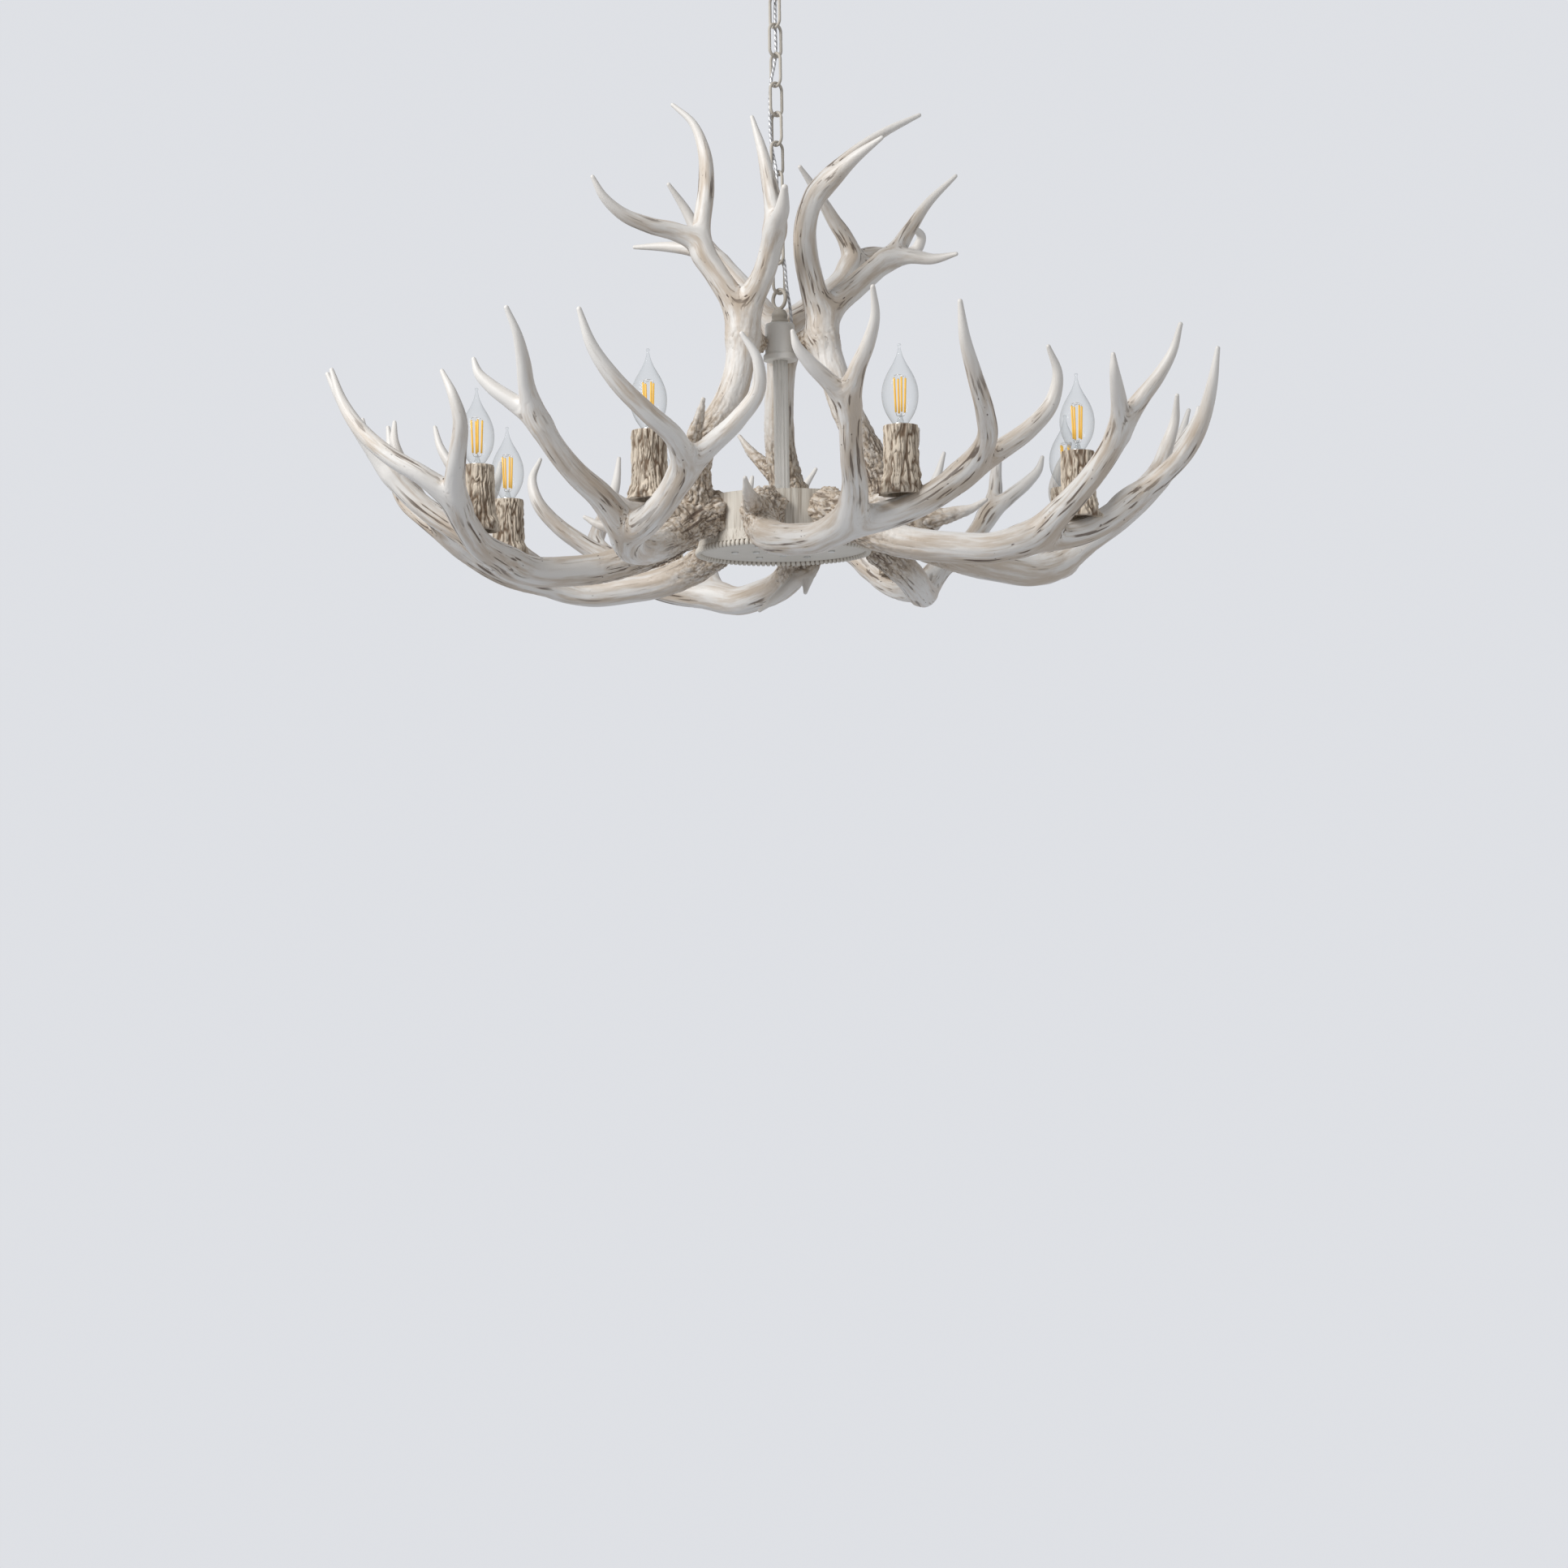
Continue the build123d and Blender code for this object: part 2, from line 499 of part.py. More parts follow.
def root_plane(number, reach=0.0):
    """Plane square to the root of one lower antler, facing outward at a reach."""
    azimuth = radians(root_azimuth(number))
    outward = (sin(azimuth), -cos(azimuth), 0)
    return Plane(
        origin=(reach * outward[0], reach * outward[1], HUB_Z),
        x_dir=(-outward[1], outward[0], 0),
        z_dir=outward,
    )


HUB_SECTION = Plane(origin=(0, 0, HUB_Z), x_dir=(1, 0, 0), z_dir=(0, -1, 0))

with BuildPart() as drum_core:
    with BuildSketch(Plane.XZ):
        drum_outline(True)
    revolve(axis=Axis.Z)

with BuildPart() as drum_shell:
    with BuildSketch(HUB_SECTION):
        drum_outline(False)
    revolve(axis=Axis.Z)
    with BuildSketch(Plane.XY.offset(TOP_PLATE_TOP - PLATE_THICKNESS)):
        Circle(DRUM_RADIUS - DRUM_WALL)
    extrude(amount=TOP_PLATE_DROP + PLATE_THICKNESS, mode=Mode.SUBTRACT)
    for number in range(LIGHT_COUNT):
        with BuildSketch(root_plane(number)):
            Circle(ANTLER_SCREW_RADIUS + SCREW_CLEARANCE)
        extrude(amount=DRUM_RADIUS + DRUM_WALL, mode=Mode.SUBTRACT)
save(drum_shell, "drum_shell")

# the cover plate in the drum's top and the clamping plate in its foot
with BuildPart() as hub_plates:
    with BuildSketch(Plane.XY.offset(TOP_PLATE_TOP - PLATE_THICKNESS)):
        Circle(DRUM_RADIUS - DRUM_WALL - PLATE_CLEARANCE)
        Circle(TIE_ROD_RADIUS + SCREW_CLEARANCE, mode=Mode.SUBTRACT)
    extrude(amount=PLATE_THICKNESS)
    with BuildSketch(Plane.XY.offset(DRUM_BOTTOM)):
        Circle(BRACKET_RADIUS)
        Circle(TIE_ROD_RADIUS + SCREW_CLEARANCE, mode=Mode.SUBTRACT)
        for circle_radius, screw_count in zip(PLATE_SCREW_CIRCLE_RADII, PLATE_SCREW_COUNTS):
            with PolarLocations(circle_radius, screw_count):
                Circle(PLATE_SCREW_RADIUS + SCREW_CLEARANCE, mode=Mode.SUBTRACT)
    extrude(amount=PLATE_THICKNESS)
save(hub_plates, "hub_plates")

with BuildPart() as base_plate:
    with BuildSketch(Plane.XY.offset(DRUM_BOTTOM - PLATE_THICKNESS)):
        Circle(DRUM_RADIUS)
        Circle(ROD_NUT_RADIUS + PLATE_CLEARANCE, mode=Mode.SUBTRACT)
        for circle_radius, screw_count in zip(PLATE_SCREW_CIRCLE_RADII, PLATE_SCREW_COUNTS):
            with PolarLocations(circle_radius, screw_count):
                Circle(PLATE_SCREW_RADIUS + SCREW_CLEARANCE, mode=Mode.SUBTRACT)
    extrude(amount=PLATE_THICKNESS)
save(base_plate, "hub_base_plate")

with BuildPart() as bead_ring:
    with BuildSketch(HUB_SECTION):
        with Locations((DRUM_RADIUS + BEAD_RADIUS, -DRUM_HEIGHT / 2 - BEAD_RADIUS)):
            Circle(BEAD_RADIUS)
        with Locations((0, -DRUM_HEIGHT / 2 - BEAD_RADIUS)):
            Rectangle(2 * DRUM_RADIUS, 4 * BEAD_RADIUS, mode=Mode.SUBTRACT)
    revolve(axis=Axis.Z)
save(bead_ring, "bead_ring")

with BuildPart() as hub_fasteners:
    for circle_radius, screw_count in zip(PLATE_SCREW_CIRCLE_RADII, PLATE_SCREW_COUNTS):
        with BuildSketch(Plane.XY.offset(DRUM_BOTTOM - PLATE_THICKNESS)):
            with PolarLocations(circle_radius, screw_count):
                Circle(PLATE_SCREW_RADIUS)
        extrude(amount=2 * PLATE_THICKNESS)
        with BuildSketch(Plane.XY.offset(DRUM_BOTTOM - PLATE_THICKNESS)):
            with PolarLocations(circle_radius, screw_count):
                Circle(PLATE_SCREW_HEAD_RADIUS)
        extrude(amount=-PLATE_SCREW_HEAD_HEIGHT)
    with BuildSketch(Plane.XY.offset(DRUM_BOTTOM)):
        RegularPolygon(ROD_NUT_RADIUS, 6)
        Circle(TIE_ROD_RADIUS + SCREW_CLEARANCE, mode=Mode.SUBTRACT)
    extrude(amount=-ROD_NUT_HEIGHT)
    for number in range(LIGHT_COUNT):
        with BuildSketch(root_plane(number, SCREW_HEAD_REACH)):
            Circle(ANTLER_SCREW_RADIUS)
        extrude(amount=ANTLER_SCREW_LENGTH)
        with BuildSketch(root_plane(number, SCREW_HEAD_REACH)):
            Circle(ANTLER_SCREW_HEAD_RADIUS)
        extrude(amount=-ANTLER_SCREW_HEAD_HEIGHT)
save(hub_fasteners, "hub_fasteners")

# ---------------------------------------------------------------- lower antlers
with BuildPart() as antler_cast:
    for run in (LOWER_BEAM, LOWER_O_BEAM, LOWER_U_TINE, LOWER_O_TINE, LOWER_BROW):
        horn(cast_points(run))
    add(drum_core.part, mode=Mode.SUBTRACT)
    with BuildSketch(Plane.XZ.offset(SCREW_HEAD_REACH)):
        Circle(ANTLER_SCREW_RADIUS + SCREW_CLEARANCE)
    extrude(amount=ANTLER_SCREW_LENGTH, mode=Mode.SUBTRACT)

for number in range(LIGHT_COUNT):
    with BuildPart() as lower_antler:
        with Locations(Location((0, 0, HUB_Z), (0, 0, root_azimuth(number)))):
            add(antler_cast.part)
        if number + 1 == SPUR_ANTLER:
            for run in SPURS:
                horn(cast_points(run, root_azimuth(number), HUB_Z))
    save(lower_antler, f"lower_antler_{number + 1}")

# ---------------------------------------------------------------- upper antlers


def upper_antler(runs):
    """Fuse the runs of one upper antler and cope its stub to the collar."""
    for name in ("beam", "fork", "fork_tine", "end_tine", "brow", "stub"):
        horn(upper_points(runs[name]))
    add(collar_core.part, mode=Mode.SUBTRACT)


with BuildPart() as collar_core:
    with BuildSketch(Plane.XY.offset(COLLAR_BOTTOM)):
        Circle(COLLAR_FLANGE_RADIUS)
    extrude(amount=COLLAR_FLANGE_HEIGHT)
    with BuildSketch(Plane.XY.offset(COLLAR_BOTTOM)):
        Circle(COLLAR_RADIUS)
    extrude(amount=COLLAR_HEIGHT)

with BuildPart() as upper_left:
    upper_antler(UPPER_LEFT)
save(upper_left, "upper_antler_left")

with BuildPart() as upper_right:
    upper_antler(UPPER_RIGHT)
save(upper_right, "upper_antler_right")

with BuildPart() as upper_back:
    upper_antler(UPPER_BACK)
save(upper_back, "upper_antler_back")

# ---------------------------------------------------------------- candle lights


def light_place(number):
    """Centre of one candle light in plan."""
    azimuth = radians(root_azimuth(number) + LIGHT_SWING)
    return (LIGHT_REACH * sin(azimuth), -LIGHT_REACH * cos(azimuth))


with BuildPart() as sleeve_form:
    with BuildSketch(Plane.XZ):
        with BuildLine():
            Line((0, 0), (SLEEVE_RADIUS, 0))
            Line((SLEEVE_RADIUS, 0), (SLEEVE_RADIUS, -SLEEVE_STRAIGHT_HEIGHT))
            Spline(
                (SLEEVE_RADIUS, -SLEEVE_STRAIGHT_HEIGHT),
                (SLEEVE_SPREAD_RADIUS, -SLEEVE_SPREAD_DROP),
                (SLEEVE_FOOT_RADIUS, -SLEEVE_HEIGHT),
            )
            Line((SLEEVE_FOOT_RADIUS, -SLEEVE_HEIGHT), (0, -SLEEVE_HEIGHT))
            Line((0, -SLEEVE_HEIGHT), (0, 0))
        make_face()
    revolve(axis=Axis.Z)
    with BuildSketch(Plane.XY):
        Circle(SLEEVE_BORE_RADIUS)
    extrude(amount=-(HOLDER_DROP + HOLDER_HEIGHT), mode=Mode.SUBTRACT)

with BuildPart() as lampholders:
    with BuildSketch(Plane.XY.offset(HOLDER_BOTTOM)):
        with Locations(*[light_place(number) for number in range(LIGHT_COUNT)]):
            Circle(HOLDER_RADIUS)
    extrude(amount=HOLDER_HEIGHT)
    with BuildSketch(Plane.XY.offset(HOLDER_TOP)):
        with Locations(*[light_place(number) for number in range(LIGHT_COUNT)]):
            Circle(CAP_RADIUS + CAP_CLEARANCE)
    extrude(amount=-(CAP_LENGTH - HOLDER_DROP + CAP_CLEARANCE), mode=Mode.SUBTRACT)
save(lampholders, "lampholders")

with BuildPart() as glass_form:
    with BuildSketch(Plane.XZ):
        with BuildLine() as glass_outline:
            outer = Spline(*[(radius, height) for height, radius in BULB_PROFILE])
            Line(outer @ 1, (0, BULB_HEIGHT))
            Line((0, BULB_HEIGHT), (0, 0))
            Line((0, 0), outer @ 0)
        make_face()
    revolve(axis=Axis.Z)
    with BuildSketch(Plane.XZ):
        with BuildLine():
            inner = Spline(*[(radius - BULB_GLASS_WALL, height) for height, radius in BULB_PROFILE[:-3]])
            Line(inner @ 1, (0, BULB_PROFILE[-4][0]))
            Line((0, BULB_PROFILE[-4][0]), (0, 0))
            Line((0, 0), inner @ 0)
        make_face()
    revolve(axis=Axis.Z, mode=Mode.SUBTRACT)

with BuildPart() as core_form:
    with BuildSketch(Plane.XY):
        Circle(CAP_RADIUS)
    extrude(amount=-CAP_LENGTH)
    with BuildSketch(Plane.XY.offset(-CAP_COLLAR_HEIGHT)):
        Circle(BULB_PROFILE[0][1])
    extrude(amount=CAP_COLLAR_HEIGHT)
    with BuildSketch(Plane.XY):
        Circle(STEM_RADIUS)
    with BuildSketch(Plane.XY.offset(STEM_HEIGHT)):
        Circle(STEM_RADIUS / 2)
    loft()
    for level in (STEM_HEIGHT, STEM_HEIGHT + FILAMENT_LENGTH):
        with BuildSketch(Plane.XY.offset(level)):
            Circle(FILAMENT_CIRCLE + FILAMENT_RING_HALF_WIDTH)
            Circle(FILAMENT_CIRCLE - FILAMENT_RING_HALF_WIDTH, mode=Mode.SUBTRACT)
            Rectangle(2 * FILAMENT_CIRCLE, FILAMENT_RADIUS)
        extrude(amount=FILAMENT_RING_THICKNESS)
    with BuildSketch(Plane.XY.offset(STEM_HEIGHT)):
        with PolarLocations(FILAMENT_CIRCLE, 4):
            Circle(FILAMENT_RADIUS)
    extrude(amount=FILAMENT_LENGTH)

for number in range(LIGHT_COUNT):
    x, y = light_place(number)
    with BuildPart() as sleeve:
        with Locations((x, y, SLEEVE_TOP)):
            add(sleeve_form.part)
    save(sleeve, f"candle_sleeve_{number + 1}")
    with BuildPart() as bulb_glass:
        with Locations((x, y, SLEEVE_TOP)):
            add(glass_form.part)
    save(bulb_glass, f"bulb_glass_{number + 1}")
    with BuildPart() as bulb_core:
        with Locations((x, y, SLEEVE_TOP)):
            add(core_form.part)
    save(bulb_core, f"bulb_core_{number + 1}")

print("hub mid height:", round(HUB_Z, 2))
print("first link:", round(FIRST_LINK_Z, 2))
print("sleeve top:", round(SLEEVE_TOP, 2))
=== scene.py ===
"""Antler chandelier: the finished look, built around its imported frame.

Row frame in metres, +Z up, origin in the ceiling plane.  The photographed side
looks toward +Y.  Tables of stations are in millimetres and are scaled once.
"""
import math

import bpy
import numpy as np
from mathutils import Matrix, Vector


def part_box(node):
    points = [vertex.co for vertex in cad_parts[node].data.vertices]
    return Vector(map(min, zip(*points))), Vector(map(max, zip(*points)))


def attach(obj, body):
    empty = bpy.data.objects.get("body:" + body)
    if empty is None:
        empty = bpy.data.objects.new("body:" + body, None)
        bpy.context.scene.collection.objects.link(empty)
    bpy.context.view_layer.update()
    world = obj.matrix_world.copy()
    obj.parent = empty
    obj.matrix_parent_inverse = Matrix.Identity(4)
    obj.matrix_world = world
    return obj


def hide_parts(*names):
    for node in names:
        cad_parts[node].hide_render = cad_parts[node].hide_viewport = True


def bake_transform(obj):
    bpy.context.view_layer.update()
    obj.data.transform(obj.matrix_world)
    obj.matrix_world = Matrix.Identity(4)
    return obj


bl_info = {
    "name": "Antler Chandelier",
    "version": (1, 0, 0),
    "blender": (4, 5, 0),
    "location": "View3D > Sidebar > Antler Lamp",
    "description": "Dresses the chandelier's frame with cast antlers, bark candles, chain, cord and bulbs",
    "category": "Add Mesh",
}

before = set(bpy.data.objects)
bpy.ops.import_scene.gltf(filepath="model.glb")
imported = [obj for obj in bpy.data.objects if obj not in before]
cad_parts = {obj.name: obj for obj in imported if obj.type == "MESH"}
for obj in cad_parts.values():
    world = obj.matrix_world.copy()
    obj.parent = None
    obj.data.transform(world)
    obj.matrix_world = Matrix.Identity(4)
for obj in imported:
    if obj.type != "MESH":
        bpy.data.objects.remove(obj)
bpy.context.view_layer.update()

MM = 0.001
LIGHTS = 8
LINKS = 10


def node_middle(name):
    """Middle of a CAD node's box."""
    return np.mean(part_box(name), axis=0)


HUB_Z = float(node_middle("drum_shell")[2])
DRUM_RADIUS = 86 * MM
# Upright cylinders that the antlers are cut back to: (radius, low, high), the
# heights measured from the hub's middle.
DRUM_WALL = (DRUM_RADIUS - 0.3 * MM, -25 * MM, 25 * MM)
COLLAR_WALL = (15.3 * MM, *(corner[2] - HUB_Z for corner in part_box("collar")))
POST_RADIUS = 8 * MM
CHAIN_WIRE = 3.2 * MM
LINK_WIDTH = 18.5 * MM
LIGHT_SWING = math.radians(33)
CHAIN_TURN = math.radians(40)
AXIS_FOOT = (0, 0, 0)
LOWER_SEED, UPPER_SEED, SLEEVE_SEED = 5, 11, 100
FLOOR_DEPTH = -2.1
FLOOR_RADIUS = 2.6
ROOM_COLOUR = (0.93, 0.96, 1.0)
# Each soft lamp: (place, point it is aimed at, edge length), in metres.
KEY_LAMP = ((-2.3, -1.9, 1.25), (0, 0, -0.5), 1.9)
FILL_LAMP = ((2.6, -2.0, -0.9), (0, 0, -0.6), 2.6)

# ---------------------------------------------------------------- antler stations
# One list for each run of horn: (reach from the axis, swing in degrees from the
# root, rise from the hub's mid height, radius).
LOWER_RUNS = {
    "beam": [
        (80, 0, 5, 20), (92, 0, 2, 20.5), (103, 1, -4, 17.5), (128, 3, -17, 17), (160, 6.5, -31, 16.5),
        (192, 11, -41, 16), (222, 16, -46, 15.5), (262, 21, -48, 15.5), (297, 24.5, -36, 15.5),
        (330, 24.5, -12, 13), (362, 23, 10, 11.5), (390, 22, 36, 11), (410, 21.5, 62, 10.5),
        (427, 22, 84, 8), (442, 23, 105, 6.5), (456, 23.5, 128, 4.5), (467, 23, 152, 2.4),
    ],
    "outer_beam": [
        (282, 24, -42, 12), (302, 29, -37, 14), (325, 34, -29, 13.5), (347, 38.5, -13, 13),
        (369, 41.5, 8, 12.5), (397, 41.5, 28, 10), (425, 39, 49, 9), (449, 36, 78, 7.5),
        (463, 34, 108, 5.5), (472, 33, 141, 2.4),
    ],
    "inner_tine": [
        (402, 21.5, 52, 8), (417, 18.5, 74, 8), (427, 16, 90, 6.5), (433, 14.5, 104, 4.5),
        (435, 14, 117, 2.2),
    ],
    "outer_tine": [
        (357, 41, 0, 10), (375, 45.5, 22, 10), (388, 50, 45, 8.5), (398, 53, 72, 7), (406, 53, 96, 5),
        (409, 51, 121, 2.2),
    ],
    "brow": [
        (95, 0, 8, 12), (125, 1, 2, 11), (155, 1.5, 1, 9.5), (180, 2, 4, 7), (198, 2.4, 9, 4.5),
        (212, 2.6, 17, 2.2),
    ],
}
# The rear antler's two small spurs, and the upper antlers: (x, y, rise, radius).
SPUR_ANTLER = 6
SPUR_RUNS = {
    "long_spur": [(30, 130, -16, 9), (20, 122, -34, 8), (0, 114, -56, 6), (-26, 105, -77, 2)],
    "short_spur": [(30, 130, -16, 8), (28, 120, -34, 6), (23, 109, -58, 2)],
}
UPPER_RUNS = {
    "left": {
        "stem": [
            (-88, -53, 14, 18), (-92, -58, 34, 18.5), (-90, -63, 58, 17), (-76, -60, 84, 16),
            (-60, -53, 108, 15.5), (-47, -46, 138, 15), (-40, -41, 170, 14.5), (-36, -38, 200, 15),
            (-29, -43, 226, 13.5), (-16, -60, 250, 12), (-8, -77, 272, 11.5), (-3, -95, 292, 10.5),
            (-5, -101, 315, 9), (-9, -101, 338, 7.5), (-15, -98, 368, 5.5), (-25, -93, 405, 2.2),
        ],
        "fork": [
            (-39, -40, 180, 11), (-42, -40, 206, 13), (-50, -41, 230, 13), (-63, -42, 252, 12.5),
            (-75, -43, 271, 12), (-85, -44, 288, 11), (-104, -49, 297, 9.5), (-132, -62, 302, 8),
            (-160, -76, 312, 6.5), (-178, -86, 328, 4.5), (-188, -93, 346, 2.2),
        ],
        "fork_tine": [
            (-78, -42, 276, 9), (-79, -38, 302, 9), (-74, -27, 350, 8), (-76, -16, 390, 6.5),
            (-88, -10, 422, 4), (-108, -5, 442, 2.2),
        ],
        "end_tine": [(-4, -92, 288, 9), (0, -112, 294, 8.5), (4, -132, 300, 7.5), (7, -152, 318, 3.4)],
        "brow": [
            (-90, -60, 44, 11), (-92, -80, 62, 10), (-88, -100, 78, 7.5), (-82, -114, 94, 5),
            (-78, -126, 110, 2.2),
        ],
        "stub": [(-39, -40, 186, 13), (-32, -25, 188, 13), (-24, -9, 189, 11)],
    },
    "right": {
        "stem": [
            (102, -24, 12, 18), (103, -27, 34, 18.5), (94, -32, 56, 17), (80, -37, 84, 16),
            (66, -38, 116, 15.5), (56, -36, 148, 15), (47, -32, 180, 14.5), (42, -31, 212, 15),
            (34, -40, 242, 13.5), (28, -49, 272, 12.5), (28, -56, 300, 11.5), (36, -60, 326, 10.5),
            (52, -58, 348, 9.5), (78, -44, 376, 7.5), (110, -22, 404, 5), (149, -5, 427, 2.2),
        ],
        "fork": [
            (43, -31, 200, 12), (58, -22, 226, 13), (79, -4, 248, 12.5), (103, 16, 272, 11.5),
            (120, 28, 288, 10), (137, 40, 314, 7.5), (158, 52, 346, 5), (189, 62, 378, 2.2),
        ],
        "fork_tine": [(112, 22, 280, 8.5), (134, 18, 283, 8), (161, 0, 276, 5.5), (184, -18, 277, 2.2)],
        "end_tine": [(42, -60, 334, 8), (58, -66, 348, 8), (80, -76, 366, 6), (107, -88, 383, 2.2)],
        "brow": [
            (103, -28, 38, 11), (118, -22, 52, 9.5), (130, -12, 66, 7), (138, -2, 82, 4.5),
            (142, 6, 98, 2.2),
        ],
        "stub": [(45, -32, 186, 13), (35, -19, 188, 13), (25, -6, 189, 11)],
    },
    "back": {
        "stem": [
            (20, 102, 12, 18), (14, 106, 34, 18.5), (6, 102, 58, 17), (0, 92, 86, 16),
            (-2, 74, 118, 15.5), (-1, 56, 150, 15), (2, 44, 182, 14.5), (4, 44, 212, 15),
            (26, 54, 232, 13.5), (50, 70, 254, 12.5), (70, 88, 278, 11.5), (78, 94, 298, 10.5),
            (72, 92, 318, 9), (60, 84, 336, 7.5), (42, 68, 364, 5), (24, 52, 388, 2.2),
        ],
        "fork": [
            (3, 44, 200, 12), (-12, 54, 226, 13), (-34, 68, 256, 12.5), (-54, 82, 282, 11.5),
            (-70, 94, 302, 10), (-84, 98, 326, 7.5), (-100, 94, 356, 5), (-116, 84, 379, 2.2),
        ],
        "fork_tine": [
            (-64, 90, 294, 9), (-86, 106, 311, 8), (-120, 122, 320, 5.5), (-155, 130, 322, 2.2),
        ],
        "end_tine": [
            (74, 92, 288, 9), (96, 114, 306, 8.5), (126, 138, 310, 8), (149, 149, 318, 6.5),
            (155, 144, 331, 5), (144, 130, 340, 2.8),
        ],
        "brow": [
            (14, 104, 44, 11), (-4, 116, 66, 10), (-18, 124, 82, 7.5), (-33, 132, 98, 5),
            (-45, 140, 116, 2.2),
        ],
        "stub": [(3, 44, 186, 13), (1, 28, 188, 14), (0, 10, 189, 13)],
    },
}
# How rough each run is: (at its start, at its end, length in millimetres over
# which it fades).
RUN_ROUGHNESS = {
    "beam": (1.0, 0.0, 85), "outer_beam": (0.06, 0.0, 90), "inner_tine": (0.0, 0.0, 60),
    "outer_tine": (0.0, 0.0, 60), "stem": (1.0, 0.06, 85), "brow": (0.85, 0.08, 75),
    "fork": (0.06, 0.0, 80), "fork_tine": (0.0, 0.0, 60), "end_tine": (0.0, 0.0, 60),
    "stub": (0.55, 0.9, 20), "long_spur": (0.8, 0.0, 26), "short_spur": (0.8, 0.0, 22),
}

# Power cord route beside and through the chain: (along the first link plane,
# across it, height), in millimetres.
CORD_ROUTE = [
    (9.0, 9.0, -20), (8.0, 8.5, -50), (4.5, 5.0, -80), (5.0, 4.5, -114), (-4.8, 4.0, -144),
    (-5.0, 5.0, -176), (-4.2, 5.0, -208), (-4.2, -4.8, -238), (-5.0, -5.0, -270),
    (-5.0, -4.2, -302), (4.8, -4.2, -332), (5.5, -5.5, -360), (8.8, -8.4, -386), (8.6, -8.6, -400),
]

# Bulb outline above the sleeve: (height, radius), in millimetres.
BULB_PROFILE = [
    (0.6, 6.6), (2, 7.4), (5, 9.4), (9, 12.0), (14, 14.6), (20, 16.6), (26, 17.5), (32, 17.6),
    (38, 16.8), (44, 15.0), (50, 12.4), (55, 9.6), (59, 7.2), (62, 5.6), (65, 4.2), (68, 3.0),
    (71, 2.2), (74, 1.5), (76, 1.2), (77, 1.5), (78, 1.9), (79, 1.4), (79.4, 0.05),
]

# Glass stem inside the bulb: (radius, height above the sleeve), in millimetres.
STEM_PROFILE = [(3.4, 1.5), (3.9, 2.5), (3.0, 5.5), (2.0, 8.5), (1.7, 10.5), (0.6, 11.6)]


# ---------------------------------------------------------------- settings
class AntlerSettings(bpy.types.PropertyGroup):
    """Sizes and colours of the cast antlers."""

    voxel: bpy.props.FloatProperty(
        name="Mesh Fineness", description="Edge length of the antler meshes",
        default=1.35 * MM, min=0.8 * MM, subtype="DISTANCE")
    web: bpy.props.FloatProperty(
        name="Fork Web", description="How broadly two runs of horn flow together",
        default=4.0 * MM, subtype="DISTANCE")
    guttering: bpy.props.FloatProperty(
        name="Guttering", description="Depth of the long grooves along the horn",
        default=0.55 * MM, subtype="DISTANCE")
    burr_relief: bpy.props.FloatProperty(
        name="Burr Relief", description="Depth of the rough surface at the roots",
        default=3.4 * MM, subtype="DISTANCE")
    horn_colour: bpy.props.FloatVectorProperty(
        name="Horn", description="Pale colour of the smooth horn",
        default=(0.80, 0.772, 0.735), size=3, subtype="COLOR")
    shade_colour: bpy.props.FloatVectorProperty(
        name="Wash", description="Thin warm wash in the hollows",
        default=(0.56, 0.465, 0.37), size=3, subtype="COLOR")
    burr_colour: bpy.props.FloatVectorProperty(
        name="Burr", description="Beige of the rough roots",
        default=(0.52, 0.425, 0.325), size=3, subtype="COLOR")
    streak_colour: bpy.props.FloatVectorProperty(
        name="Streaks", description="Dark brown of the streaks and pits",
        default=(0.085, 0.052, 0.033), size=3, subtype="COLOR")
    streaks: bpy.props.FloatProperty(
        name="Streak Amount", description="Share of the horn covered by dark streaks",
        default=0.75, min=0, max=1, subtype="FACTOR")


class BarkSettings(bpy.types.PropertyGroup):
    """Sizes and colours of the bark-textured candle sleeves."""

    relief: bpy.props.FloatProperty(
        name="Bark Relief", description="Depth of the furrows", default=1.7 * MM, subtype="DISTANCE")
    crest_colour: bpy.props.FloatVectorProperty(
        name="Crests", description="Colour of the ridges",
        default=(0.66, 0.57, 0.46), size=3, subtype="COLOR")
    furrow_colour: bpy.props.FloatVectorProperty(
        name="Furrows", description="Colour in the furrows",
        default=(0.17, 0.11, 0.066), size=3, subtype="COLOR")


class HubSettings(bpy.types.PropertyGroup):
    """Sizes and colours of the hub, post, crown, chain and cord."""

    beads: bpy.props.IntProperty(
        name="Beads", description="Number of beads around the drum's foot", default=104, min=12)
    bead_radius: bpy.props.FloatProperty(
        name="Bead Radius", description="Radius of one bead", default=2.8 * MM, subtype="DISTANCE")
    drum_colour: bpy.props.FloatVectorProperty(
        name="Drum", description="Cream of the drum",
        default=(0.68, 0.635, 0.56), size=3, subtype="COLOR")
    # The grain colour is also the brown of the painted shade between the beads.
    grain_and_shade_colour: bpy.props.FloatVectorProperty(
        name="Grain", description="Brown-grey of the drum's upright grain",
        default=(0.25, 0.19, 0.135), size=3, subtype="COLOR")
    enamel_colour: bpy.props.FloatVectorProperty(
        name="Enamel", description="Cream enamel of the post and collar",
        default=(0.88, 0.862, 0.82), size=3, subtype="COLOR")
    chain_colour: bpy.props.FloatVectorProperty(
        name="Chain", description="Beige-white of the chain",
        default=(0.52, 0.475, 0.41), size=3, subtype="COLOR")
    cord_diameter: bpy.props.FloatProperty(
        name="Cord Diameter", description="Outside diameter of the cord",
        default=3.2 * MM, subtype="DISTANCE")


